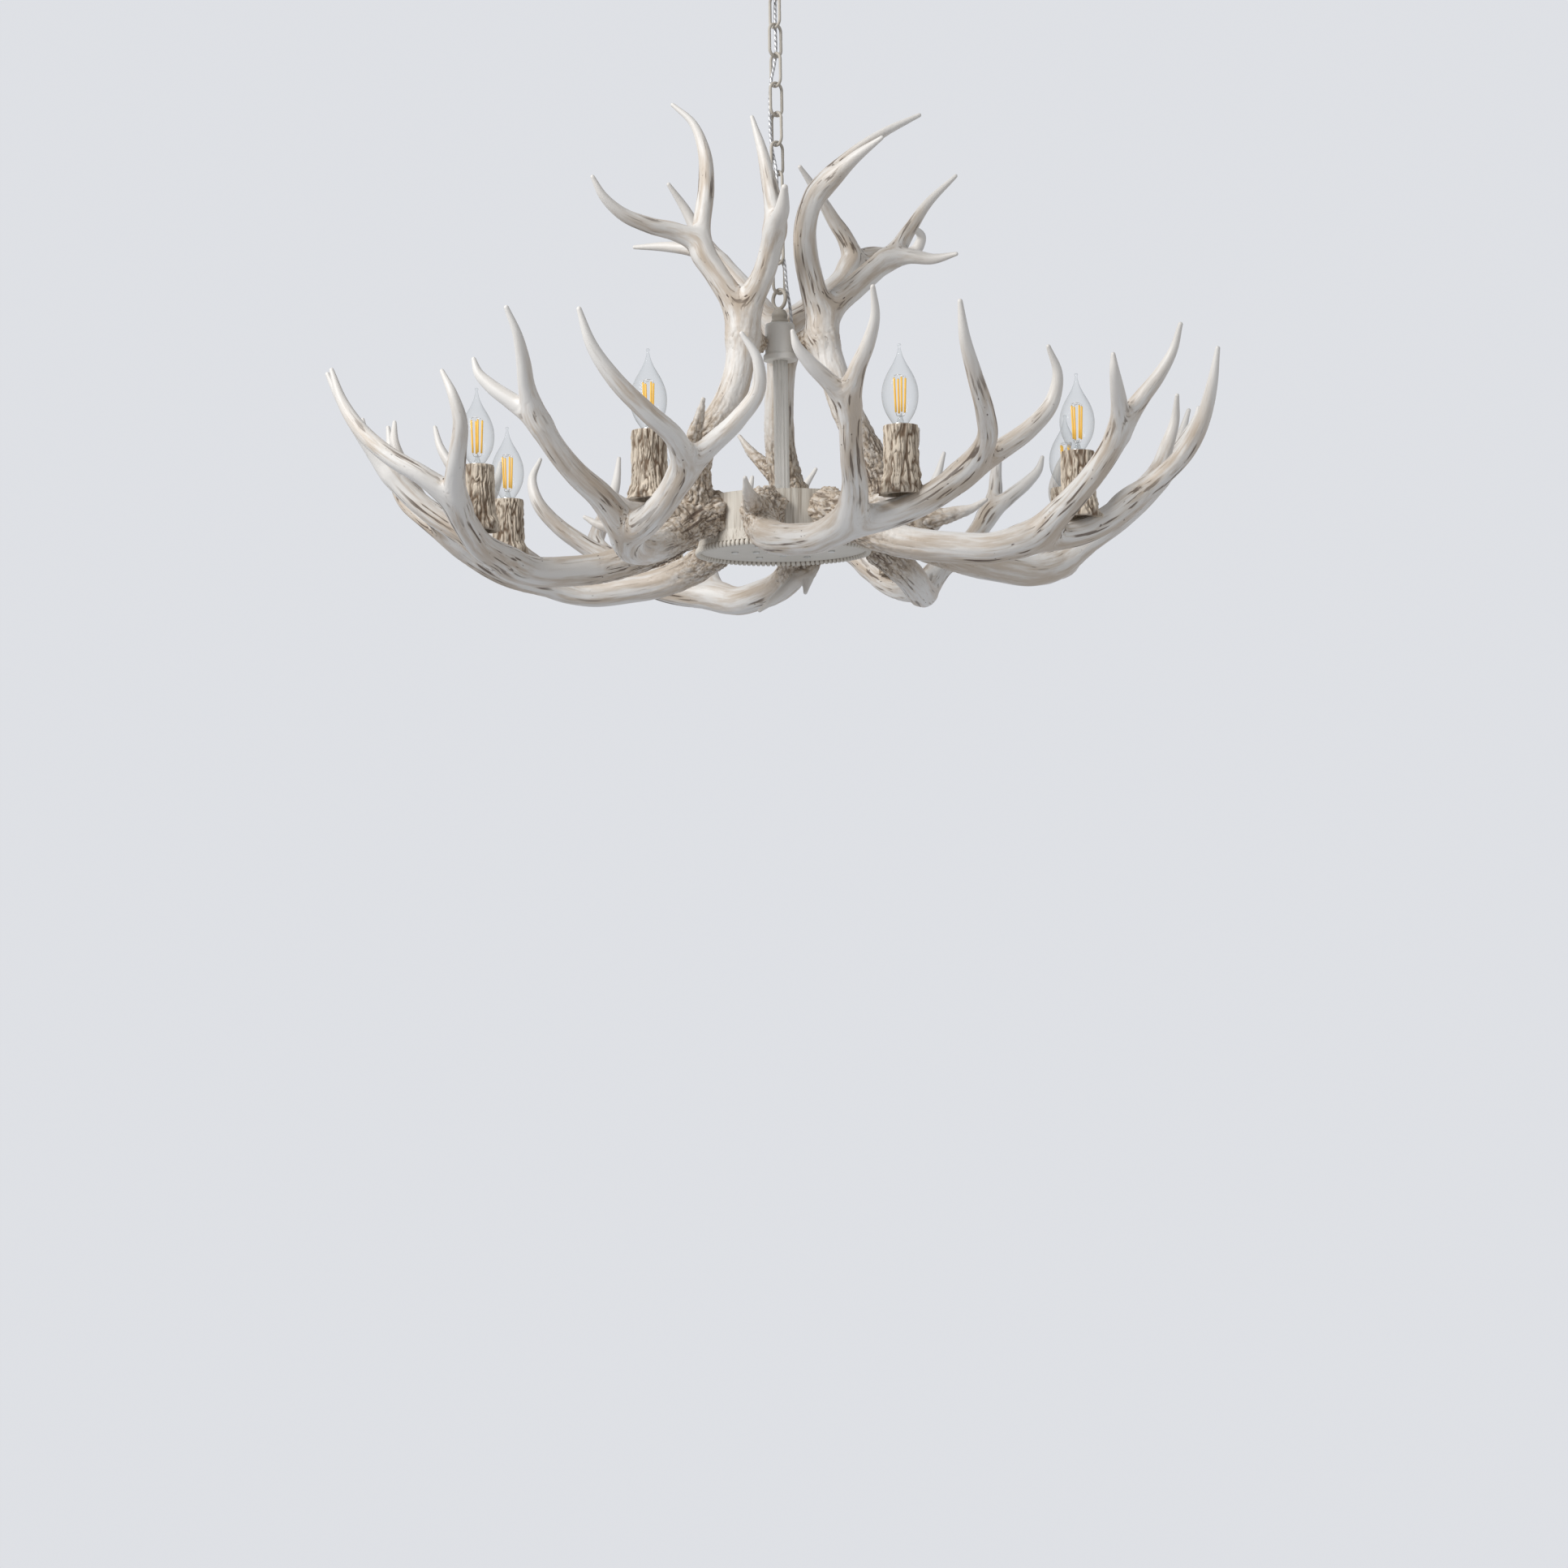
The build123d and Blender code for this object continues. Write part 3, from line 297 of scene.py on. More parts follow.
class BulbSettings(bpy.types.PropertyGroup):
    """Sizes and colours of the filament bulbs."""

    # The filament colour is also the colour of the sticks' painted glow.
    filament_and_glow_colour: bpy.props.FloatVectorProperty(
        name="Filament", description="Amber of the unlit filament sticks",
        default=(0.90, 0.50, 0.05), size=3, subtype="COLOR")
    filament_glow: bpy.props.FloatProperty(
        name="Filament Glow", description="Light given off by the sticks, 0 when unlit",
        default=0.0, min=0)
    stick_radius: bpy.props.FloatProperty(
        name="Stick Radius", description="Radius of one filament stick",
        default=1.0 * MM, subtype="DISTANCE")
    clearness: bpy.props.FloatProperty(
        name="Clearness", description="How little the glass shows face on",
        default=0.93, min=0, max=1, subtype="FACTOR")


class StageSettings(bpy.types.PropertyGroup):
    """Camera, lamps and backdrop."""

    camera_place: bpy.props.FloatVectorProperty(
        name="Camera Place", description="Where the camera stands",
        default=(-0.003, -3.709, -1.132), size=3, subtype="TRANSLATION")
    pitch: bpy.props.FloatProperty(
        name="Pitch", description="Upward tilt of the camera",
        default=math.radians(3.93), subtype="ANGLE")
    roll: bpy.props.FloatProperty(
        name="Roll", description="Sideways tilt of the camera",
        default=math.radians(0.9), subtype="ANGLE")
    lens: bpy.props.FloatProperty(
        name="Lens", description="Focal length on a 36 mm sensor",
        default=82.8, subtype="DISTANCE_CAMERA")
    backdrop: bpy.props.FloatVectorProperty(
        name="Backdrop", description="Pale blue-grey white behind the lamp",
        default=(0.735, 0.75, 0.785), size=3, subtype="COLOR")
    key_power: bpy.props.FloatProperty(
        name="Key Light", description="Power of the soft key light", default=112, subtype="POWER")
    fill_power: bpy.props.FloatProperty(
        name="Fill Light", description="Power of the soft fill light", default=14, subtype="POWER")
    sky: bpy.props.FloatProperty(
        name="Room Light", description="Strength of the even light of the room", default=0.29)


class LampSettings(bpy.types.PropertyGroup):
    """All settings of the chandelier."""

    antler: bpy.props.PointerProperty(type=AntlerSettings)
    bark: bpy.props.PointerProperty(type=BarkSettings)
    hub: bpy.props.PointerProperty(type=HubSettings)
    bulb: bpy.props.PointerProperty(type=BulbSettings)
    stage: bpy.props.PointerProperty(type=StageSettings)


# ---------------------------------------------------------------- number fields
class Lattice:
    """Smooth seeded field: random values on a cubic lattice, eased between its
    corners with the curve 3t^2 - 2t^3 in each direction."""

    SIZE = 48

    def __init__(self, seed):
        self.values = np.random.default_rng(seed).uniform(-1, 1, (self.SIZE,) * 3)

    def __call__(self, points):
        cell = np.floor(points).astype(int)
        ease = points - cell
        ease = ease * ease * (3 - 2 * ease)
        total = np.zeros(len(points))
        for corner in np.ndindex(2, 2, 2):
            place = (cell + corner) % self.SIZE
            share = np.prod(np.where(corner, ease, 1 - ease), axis=1)
            total += share * self.values[place[:, 0], place[:, 1], place[:, 2]]
        return total

    def layered(self, points, layers):
        """Sum of copies, each at twice the frequency and half the height."""
        return sum(self(points * 2**layer + 7.3 * layer) / 2**layer for layer in range(layers))


def ease(value, low, high):
    """S-curve from 0 at low to 1 at high."""
    t = np.clip((value - low) / (high - low), 0, 1)
    return t * t * (3 - 2 * t)


def smooth_path(stations, step):
    """Cubic Hermite curve through stations, one row every step, where a row's
    slope is the difference of its neighbours over their chord length."""
    rows = np.asarray(stations, float)
    chord = travel(rows[:, :3])
    slope = np.gradient(rows, chord, axis=0)
    places = np.linspace(0, chord[-1], max(int(chord[-1] / step), 2) + 1)
    before = np.clip(np.searchsorted(chord, places, side="right") - 1, 0, len(chord) - 2)
    span = (chord[before + 1] - chord[before])[:, None]
    t = (places[:, None] - chord[before, None]) / span
    return (
        (2 * t**3 - 3 * t**2 + 1) * rows[before] + (t**3 - 2 * t**2 + t) * span * slope[before]
        + (3 * t**2 - 2 * t**3) * rows[before + 1] + (t**3 - t**2) * span * slope[before + 1]
    )


def travel(path):
    """Distance along a path to each of its points."""
    return np.concatenate(([0], np.cumsum(np.linalg.norm(np.diff(path, axis=0), axis=1))))


def unit(vectors):
    """Vectors scaled to length 1."""
    return vectors / np.linalg.norm(vectors, axis=-1, keepdims=True)


def turned(rows, angle):
    """Rows of x, y and more, turned about the lamp's axis."""
    cosine, sine = math.cos(angle), math.sin(angle)
    x, y, *others = np.asarray(rows, float).T
    return np.column_stack((x * cosine - y * sine, x * sine + y * cosine, *others))


def path_frames(path, first_side=None, closed=False):
    """Tangent, side and up at each point of a path, with the side carried along
    without twist: each one is the last with its part along the tangent removed."""
    if closed:
        tangent = unit(np.roll(path, -1, axis=0) - np.roll(path, 1, axis=0))
    else:
        tangent = unit(np.gradient(path, axis=0))
    side = np.cross(tangent[0], (0, 0, 1)) if first_side is None else np.asarray(first_side, float)
    sides = np.empty_like(path)
    for index, along in enumerate(tangent):
        side = side - along * side.dot(along)
        side = side / np.linalg.norm(side)
        sides[index] = side
    return tangent, sides, np.cross(tangent, sides)


# ---------------------------------------------------------------- meshes
def grid_faces(rows, columns, wrap_rows=False):
    """Quads of a grid whose columns close on themselves, as rows of 4 indices."""
    row = np.arange(rows if wrap_rows else rows - 1)[:, None]
    column = np.arange(columns)[None, :]
    next_row = (row + 1) % rows
    next_column = (column + 1) % columns
    corners = [
        row * columns + column, row * columns + next_column,
        next_row * columns + next_column, next_row * columns + column,
    ]
    return np.stack(corners, axis=-1).reshape(-1, 4)


def mesh_object(name, points, quads, triangles=None, smooth=True):
    """Object at the origin from whole arrays of points, quads and triangles."""
    mesh = bpy.data.meshes.new(name)
    triangles = np.empty((0, 3), int) if triangles is None else np.asarray(triangles, int)
    quads = np.asarray(quads, int).reshape(-1, 4)
    mesh.vertices.add(len(points))
    mesh.vertices.foreach_set("co", np.asarray(points, np.float32).ravel())
    mesh.loops.add(quads.size + triangles.size)
    corners = np.concatenate((quads.ravel(), triangles.ravel()))
    mesh.loops.foreach_set("vertex_index", corners.astype(np.int32))
    mesh.polygons.add(len(quads) + len(triangles))
    starts = np.concatenate((np.arange(len(quads)) * 4, quads.size + np.arange(len(triangles)) * 3))
    mesh.polygons.foreach_set("loop_start", starts.astype(np.int32))
    mesh.update(calc_edges=True)
    mesh.validate()
    mesh.polygons.foreach_set("use_smooth", np.full(len(mesh.polygons), smooth))
    made = bpy.data.objects.new(name, mesh)
    bpy.context.scene.collection.objects.link(made)
    return made


def capped(points, rows, columns, first_pole, last_pole):
    """A grid of rings closed by a fan to one pole at each end.  Gives points,
    quads and triangles that all face outward when the columns run
    anticlockwise seen from the last pole."""
    points = np.concatenate((points.reshape(-1, 3), [first_pole, last_pole]))
    column = np.arange(columns)
    following = (column + 1) % columns
    low, high = rows * columns, rows * columns + 1
    top = (rows - 1) * columns
    triangles = np.concatenate((
        np.stack((following, column, np.full(columns, low)), axis=1),
        np.stack((top + column, top + following, np.full(columns, high)), axis=1),
    ))
    return points, grid_faces(rows, columns), triangles


def lathe(profile, centre, columns=64, waves=None):
    """Surface of revolution of (radius, height) rows about an upright axis:
    x = r cos a, y = r sin a, z = h, with waves(angle, height) added to r."""
    radius, height = np.asarray(profile, float).T
    angle = np.linspace(0, 2 * math.pi, columns, endpoint=False)
    reach = radius[:, None] + np.zeros(columns)
    if waves is not None:
        reach = reach + waves(angle[None, :], height[:, None])
    rise = np.broadcast_to(height[:, None], reach.shape)
    grid = np.stack((reach * np.cos(angle), reach * np.sin(angle), rise), axis=-1)
    centre = np.asarray(centre, float)
    first = centre + (0, 0, height[0])
    last = centre + (0, 0, height[-1])
    return capped(grid + centre, len(radius), columns, first, last)


def tube(path, radius, columns=12, closed=False, first_side=None):
    """Circle of a given radius carried along a path: centre + r cos a * side +
    r sin a * up, closed on itself or by a cap at each end."""
    path = np.asarray(path, float)
    radius = np.broadcast_to(np.asarray(radius, float), len(path))
    tangent, side, up = path_frames(path, first_side, closed)
    angle = np.linspace(0, 2 * math.pi, columns, endpoint=False)[None, :, None]
    around = np.cos(angle) * side[:, None] + np.sin(angle) * up[:, None]
    grid = path[:, None] + radius[:, None, None] * around
    if closed:
        return grid.reshape(-1, 3), grid_faces(len(path), columns, True), np.empty((0, 3), int)
    return capped(grid, len(path), columns, path[0], path[-1])


def joined(parts):
    """Several (points, quads, triangles) sets as one."""
    points, quads, triangles, count = [], [], [], 0
    for part_points, part_quads, part_triangles in parts:
        points.append(part_points)
        quads.append(part_quads + count)
        triangles.append(part_triangles + count)
        count += len(part_points)
    return np.concatenate(points), np.concatenate(quads), np.concatenate(triangles)


def rounded_profile(corners, radius, steps=5):
    """(radius, height) corners with each inner corner eased by a short curve:
    points a + (b - a)t joined quadratically across the corner."""
    corners = np.asarray(corners, float)
    rows = [corners[0]]
    for before, corner, after in zip(corners, corners[1:], corners[2:]):
        reach = min(radius, np.linalg.norm(corner - before) / 2, np.linalg.norm(after - corner) / 2)
        start = corner + (before - corner) / np.linalg.norm(before - corner) * reach
        end = corner + (after - corner) / np.linalg.norm(after - corner) * reach
        for t in np.linspace(0, 1, steps):
            rows.append((1 - t) ** 2 * start + 2 * t * (1 - t) * corner + t**2 * end)
    rows.append(corners[-1])
    return np.array(rows)


def write_attribute(made, name, values, kind="FLOAT"):
    """Store one number or vector for each vertex."""
    attribute = made.data.attributes.new(name, kind, "POINT")
    key = "vector" if kind == "FLOAT_VECTOR" else "value"
    attribute.data.foreach_set(key, np.asarray(values, np.float32).ravel())


def read_points(mesh):
    """A mesh's vertex places as an array."""
    points = np.empty(len(mesh.vertices) * 3, np.float32)
    mesh.vertices.foreach_get("co", points)
    return points.reshape(-1, 3).astype(float)


def read_normals(mesh):
    """A mesh's vertex normals as an array."""
    normals = np.empty(len(mesh.vertices) * 3, np.float32)
    mesh.vertex_normals.foreach_get("vector", normals)
    return normals.reshape(-1, 3).astype(float)


def write_points(mesh, points):
    """Move a mesh's vertices to new places."""
    mesh.vertices.foreach_set("co", np.asarray(points, np.float32).ravel())
    mesh.update()


# ---------------------------------------------------------------- horn
class Horn:
    """The runs of one antler: dense centre lines, radii and frames."""

    STEP = 2.0 * MM

    def __init__(self, runs):
        self.runs = []
        for name, stations in runs.items():
            rows = smooth_path(np.asarray(stations, float) * MM, self.STEP)
            path, radius = rows[:, :3], np.maximum(rows[:, 3], 1.5 * MM)
            start, side = 0.0, None
            if self.runs:
                trunk = min(self.runs, key=lambda run: np.linalg.norm(run["path"] - path[0], axis=1).min())
                nearest = np.linalg.norm(trunk["path"] - path[0], axis=1).argmin()
                start, side = trunk["along"][nearest], trunk["side"][nearest]
            tangent, sides, up = path_frames(path, side)
            along = start + travel(path)
            self.runs.append({
                "name": name, "path": path, "radius": radius, "slope": np.gradient(radius, along),
                "tangent": tangent, "side": sides, "up": up,
                "along": along, "start": start, "length": along[-1] - start,
            })

    def shells(self):
        """One closed tube for each run, with a domed point."""
        tubes = []
        for run in self.runs:
            rows = self.domed(run)
            tubes.append(tube(rows[:, :3], rows[:, 3], 20, first_side=run["side"][0]))
        return joined(tubes)

    @staticmethod
    def domed(run):
        """The run's rows with a round end: radius r cos t at r sin t beyond it."""
        turn = np.linspace(0, math.pi / 2, 5)[1:-1]
        tip = run["radius"][-1]
        beyond = run["path"][-1] + run["tangent"][-1] * (tip * np.sin(turn))[:, None]
        rows = np.column_stack((run["path"], run["radius"]))
        return np.concatenate((rows, np.column_stack((beyond, tip * np.cos(turn)))))

    def distances(self, points):
        """Distance from each point to each run's surface, and the nearest row:
        the least over the run of |p - centre| - radius, then measured square to
        the centre line within half a step of that row."""
        distance = np.empty((len(points), len(self.runs)))
        nearest = np.empty((len(points), len(self.runs)), int)
        for column, run in enumerate(self.runs):
            half = self.STEP / 2 * np.ones(len(run["path"]))
            back, ahead = half.copy(), half.copy()
            back[0] = ahead[-1] = 0
            for low in range(0, len(points), 8192):
                block = points[low:low + 8192]
                squared = (block**2).sum(axis=1)[:, None] + (run["path"]**2).sum(axis=1)
                squared = squared - 2 * block @ run["path"].T
                row = (np.sqrt(np.maximum(squared, 0)) - run["radius"]).argmin(axis=1)
                offset = block - run["path"][row]
                slid = np.clip((offset * run["tangent"][row]).sum(axis=1), -back[row], ahead[row])
                reach = np.linalg.norm(offset - run["tangent"][row] * slid[:, None], axis=1)
                nearest[low:low + 8192, column] = row
                distance[low:low + 8192, column] = reach - run["radius"][row] - run["slope"][row] * slid
        return distance, nearest

    def read(self, points, web):
        """For each point: the blended distance -w ln(sum exp(-d/w)), and each
        run's share of it, with the place along and across the horn."""
        distance, nearest = self.distances(points)
        least = distance.min(axis=1, keepdims=True)
        share = np.exp(-(distance - least) / web)
        total = share.sum(axis=1, keepdims=True)
        blended = least[:, 0] - web * np.log(total[:, 0])
        share = share / total
        grain = np.zeros((len(points), 3))
        rough = np.zeros(len(points))
        to_tip = np.zeros(len(points))
        for column, run in enumerate(self.runs):
            row = nearest[:, column]
            offset = points - run["path"][row]
            along = run["along"][row] + (offset * run["tangent"][row]).sum(axis=1)
            across = (offset * run["side"][row]).sum(axis=1)
            over = (offset * run["up"][row]).sum(axis=1)
            start_rough, end_rough, fade = RUN_ROUGHNESS[run["name"]]
            travelled = np.clip(along - run["start"], 0, None)
            fading = np.exp(-(travelled / (fade * MM)) ** 2)
            grain += share[:, column, None] * np.stack((across, over, along), axis=1)
            rough += share[:, column] * (end_rough + (start_rough - end_rough) * fading)
            to_tip += share[:, column] * (run["length"] - travelled)
        return blended, grain, rough, to_tip


def cope(points, radius, low, high):
    """Push points inside an upright cylinder out to its wall."""
    reach = np.linalg.norm(points[:, :2], axis=1)
    inside = (reach < radius) & (points[:, 2] > low) & (points[:, 2] < high)
    scale = np.where(inside, radius / np.maximum(reach, 1e-6), 1)
    return np.column_stack((points[:, :2] * scale[:, None], points[:, 2]))


def horn_relief(grain, rough, to_tip, seed, settings):
    """Height of the surface over the plain horn, and how deep each point lies
    in a furrow from 0 to 1.  Long shallow gutters run along the horn, and the
    roots carry knobs and bark-like furrows."""
    field = Lattice(seed)
    body = ease(to_tip, 0, 90 * MM)

    def cells(wide, long, shift, places=grain):
        return places / np.array((wide, wide, long)) / MM + shift

    gutters = field(cells(6.0, 90.0, 0)) + 0.5 * field(cells(2.6, 46.0, 11))
    bend = 1.6 * MM * np.column_stack((gutters, field(cells(7.0, 12.0, 5)), np.zeros(len(grain))))
    folds = np.abs(field(cells(3.4, 10.0, 23, grain + bend)))
    small = np.abs(field(cells(2.2, 5.5, 29, grain + bend)))
    furrow = np.maximum(1 - ease(folds, 0.0, 0.30), 0.7 * (1 - ease(small, 0.0, 0.26)))
    knobs = field.layered(cells(7.5, 9.0, 37), 3)
    coronet = ease(rough, 0.9, 0.99)
    crack = ease(1 - np.abs(field(cells(5.0, 40.0, 51))), 0.93, 1.0) * body
    height = settings.guttering * body * gutters - 0.5 * settings.guttering * crack
    height += settings.burr_relief * rough * (0.30 + 0.42 * knobs - 0.72 * furrow)
    height += settings.burr_relief * coronet * (0.25 + 0.7 * np.abs(knobs))
    depth = np.clip(rough * 1.7, 0, 1) * furrow * (0.8 + 0.2 * np.clip(-knobs, -1, 1)) + 0.3 * crack
    return height, depth


def cast_antler(name, runs, settings, seed, copes):
    """Voxel skin over a horn's runs, drawn onto the blended horn surface and
    given its relief.  The stations are in millimetres; what comes back is the
    skin's points in metres, in the runs' own frame, its quads and its values."""
    horn = Horn(runs)
    rough_shell = mesh_object(name + "_skin", *horn.shells())
    remesh = rough_shell.modifiers.new("Skin", "REMESH")
    remesh.mode = "VOXEL"
    remesh.voxel_size = settings.voxel
    depsgraph = bpy.context.evaluated_depsgraph_get()
    skin = bpy.data.meshes.new_from_object(rough_shell.evaluated_get(depsgraph))
    bpy.data.objects.remove(rough_shell)
    points = read_points(skin)
    for _ in range(3):
        blended = horn.read(points, settings.web)[0]
        points = points - read_normals(skin) * np.clip(blended, -3 * MM, 3 * MM)[:, None]
        write_points(skin, points)
    _, grain, rough, to_tip = horn.read(points, settings.web)
    height, depth = horn_relief(grain, rough, to_tip, seed, settings)
    points = points + read_normals(skin) * height[:, None]
    for radius, low, high in copes:
        points = cope(points, radius, low, high)
    corners = np.empty(len(skin.loops), np.int32)
    skin.loops.foreach_get("vertex_index", corners)
    bpy.data.meshes.remove(skin)
    quads = corners.reshape(-1, 4)
    return {"points": points, "quads": quads, "grain": grain, "rough": rough, "tip": to_tip, "depth": depth}


def place_antler(name, cast, azimuth):
    """One cast turned about the lamp's axis and raised to the hub."""
    made = mesh_object(name, turned(cast["points"], azimuth) + (0, 0, HUB_Z), cast["quads"])
    own_grain = cast["grain"] + azimuth * np.array((1, 2, 3))
    write_attribute(made, "grain", own_grain, "FLOAT_VECTOR")
    for key in ("rough", "tip", "depth"):
        write_attribute(made, key, cast[key])
    return made


def cast_stations(runs):
    """(reach, swing, rise, radius) rows as x, y, z, radius with the root toward -Y."""
    placed = {}
    for name, stations in runs.items():
        reach, swing, rise, radius = np.asarray(stations, float).T
        angle = np.radians(swing)
        placed[name] = np.column_stack((reach * np.sin(angle), -reach * np.cos(angle), rise, radius))
    return placed


# ---------------------------------------------------------------- shaders
class Wire:
    """A shader socket that Python arithmetic can work on."""

    def __init__(self, shader, socket):
        self.shader = shader
        self.socket = socket

    def __add__(self, other):
        return self.shader.math("ADD", self, other)

    def __sub__(self, other):
        return self.shader.math("SUBTRACT", self, other)

    def __rsub__(self, other):
        return self.shader.math("SUBTRACT", other, self)

    def __mul__(self, other):
        return self.shader.math("MULTIPLY", self, other)

    def __pow__(self, other):
        return self.shader.math("POWER", self, other)

    __radd__ = __add__
    __rmul__ = __mul__


class Nodes:
    """A node tree that nodes and expressions are added to."""

    def __init__(self, tree):
        self.tree = tree

    def node(self, kind, sockets=None, **settings):
        """Make a node: its settings first, then its sockets' values or links."""
        made = self.tree.nodes.new(kind)
        for key, value in settings.items():
            setattr(made, key, value)
        for key, value in (sockets or {}).items():
            self.feed(made.inputs[key], value)
        return made

    def feed(self, target, value):
        """Link a wire to a socket, or set the socket's own value."""
        if isinstance(value, Wire):
            self.tree.links.new(value.socket, target)
        elif hasattr(value, "__len__") and len(value) == 3 and target.type == "RGBA":
            target.default_value = (*value, 1)
        else:
            target.default_value = value

    def wire(self, made, output=0):
        return Wire(self, made.outputs[output])

    def math(self, operation, first, second=0.0):
        return self.wire(self.node("ShaderNodeMath", {0: first, 1: second}, operation=operation))

    def most(self, first, second):
        """The greater of two values."""
        return self.math("MAXIMUM", first, second)


class Shader(Nodes):
    """One material's nodes."""

    def __init__(self, name, roughness=0.5, metallic=0.0):
        self.material = bpy.data.materials.new(name)
        self.material.use_nodes = True
        super().__init__(self.material.node_tree)
        self.surface = self.tree.nodes["Principled BSDF"]
        self.surface.inputs["Roughness"].default_value = roughness
        self.surface.inputs["Metallic"].default_value = metallic
        self.output = self.tree.nodes["Material Output"]

    def blend(self, factor, low, high):
        """Mix two colours."""
        made = self.node("ShaderNodeMix", {0: factor, 6: low, 7: high}, data_type="RGBA")
        return self.wire(made, 2)

    def band(self, value, low, high):
        """0 below low, 1 above high, eased between."""
        limits = {"Value": value, "From Min": low, "From Max": high}
        return self.wire(self.node("ShaderNodeMapRange", limits, interpolation_type="SMOOTHSTEP"))

    def place(self):
        """The piece's own object coordinates."""
        return self.wire(self.node("ShaderNodeTexCoord"), "Object")

    def stored(self, name, output="Fac"):
        """A value or vector kept on the mesh."""
        return self.wire(self.node("ShaderNodeAttribute", attribute_name=name), output)

    def stretched(self, vector, scale, shift=(0, 0, 0)):
        """A vector scaled and shifted on each axis."""
        sockets = {"Vector": vector, "Scale": scale, "Location": shift}
        return self.wire(self.node("ShaderNodeMapping", sockets))

    def noise(self, vector, scale=1.0, detail=2.0, roughness=0.5):
        sockets = {"Vector": vector, "Scale": scale, "Detail": detail, "Roughness": roughness}
        return self.wire(self.node("ShaderNodeTexNoise", sockets))

    def relief(self, height, distance, strength=1.0):
        """Feed a height to the surface's normal."""
        made = self.node("ShaderNodeBump", {"Height": height, "Distance": distance, "Strength": strength})
        self.feed(self.surface.inputs["Normal"], self.wire(made))

    def paint(self, **sockets):
        """Set or link the surface's sockets by name, spaces as underscores."""
        for key, value in sockets.items():
            self.feed(self.surface.inputs[key.replace("_", " ")], value)


def part_way(first, second, share):
    """The colour that lies a share of the way from one to another."""
    return tuple(a + (b - a) * share for a, b in zip(first, second))


def scaled(colour, share):
    """A colour with each part multiplied."""
    return tuple(share * part for part in colour)


def horn_finish(settings):
    """Pale cast horn: warm wash in the gutters, dark streaks and pits along the
    grain, beige furrowed roots and clean points."""
    shader = Shader("horn_look")
    grain = shader.stored("grain", "Vector")
    rough = shader.stored("rough")
    depth = shader.stored("depth")
    body = shader.band(shader.stored("tip"), 20 * MM, 110 * MM)
    wash_field = shader.noise(shader.stretched(grain, (70, 70, 9)), detail=4, roughness=0.6)
    wash = shader.band(wash_field, 0.40, 0.62) * (body * 0.75 + 0.12)
    horn = shader.blend(wash, settings.horn_colour, settings.shade_colour)
    fibre = shader.noise(shader.stretched(grain, (430, 430, 17), (3, 1, 2)), detail=3, roughness=0.6)
    horn = shader.blend(shader.band(fibre, 0.48, 0.70) * wash * 0.9, horn, settings.burr_colour)
    burr_field = shader.noise(shader.stretched(grain, (330, 330, 150), (5, 5, 5)), detail=4)
    pale = part_way(settings.horn_colour, settings.burr_colour, 0.45)
    burr = shader.blend(shader.band(burr_field, 0.40, 0.66), settings.burr_colour, pale)
    colour = shader.blend(shader.band(rough, 0.05, 0.5), horn, burr)
    patches = shader.band(shader.noise(shader.stretched(grain, (30, 30, 9), (9, 4, 1)), detail=1), 0.42, 0.56)
    streak_field = shader.noise(shader.stretched(grain, (300, 300, 21), (1, 8, 3)), detail=2)
    level = 0.67 - 0.1 * settings.streaks
    streak = shader.band(streak_field, level, level + 0.05) * patches * body
    halo = shader.band(streak_field, level - 0.12, level + 0.02) * patches * body
    colour = shader.blend(halo * 0.5, colour, settings.burr_colour)
    pit_field = shader.noise(shader.stretched(grain, (420, 420, 200), (2, 6, 7)), detail=0)
    pit = shader.band(pit_field, 0.80, 0.84) * body * patches
    furrow = shader.band(depth, 0.2, 0.75)
    mark = shader.most(streak, pit)
    deep = part_way(settings.burr_colour, settings.streak_colour, 0.75)
    colour = shader.blend(furrow * 0.85, colour, deep)
    specks = 1 - shader.band(burr_field, 0.34, 0.47)
    colour = shader.blend(specks * shader.band(rough, 0.15, 0.6) * 0.7, colour, deep)
    colour = shader.blend(mark * 0.8, colour, settings.streak_colour)
    shader.paint(Base_Color=colour, Roughness=shader.band(rough, 0.0, 0.6) * 0.28 + 0.46 - 0.06 * wash)
    fine = shader.noise(shader.stretched(grain, (700, 700, 240)), detail=2)
    height = fibre * 0.3 + burr_field * rough * 2.2 + fine * 0.12 - mark * 0.9
    shader.relief(height, 0.4 * MM)
    return shader.material


def bark_finish(settings):
    """Candle sleeve bark: pale crests, brown furrows, fine upright fibres."""
    shader = Shader("bark_look", 0.72)
    depth = shader.stored("depth")
    place = shader.place()
    fibre = shader.noise(shader.stretched(place, (560, 560, 110)), detail=5, roughness=0.65)
    blotch = shader.noise(shader.stretched(place, (120, 120, 60), (4, 2, 1)), detail=3)
    light = scaled(settings.crest_colour, 1.18)
    crest = shader.blend(shader.band(blotch, 0.4, 0.62), settings.crest_colour, light)
    middle = part_way(settings.crest_colour, settings.furrow_colour, 0.5)
    worn = depth + fibre * 0.7 - 0.35
    colour = shader.blend(shader.band(worn, 0.12, 0.55), crest, middle)
    colour = shader.blend(shader.band(worn, 0.55, 1.0), colour, settings.furrow_colour)
    shader.paint(Base_Color=colour, Roughness=0.62 + fibre * 0.25)
    shader.relief(fibre * 1.4 + blotch * 0.5, 0.6 * MM)
    return shader.material


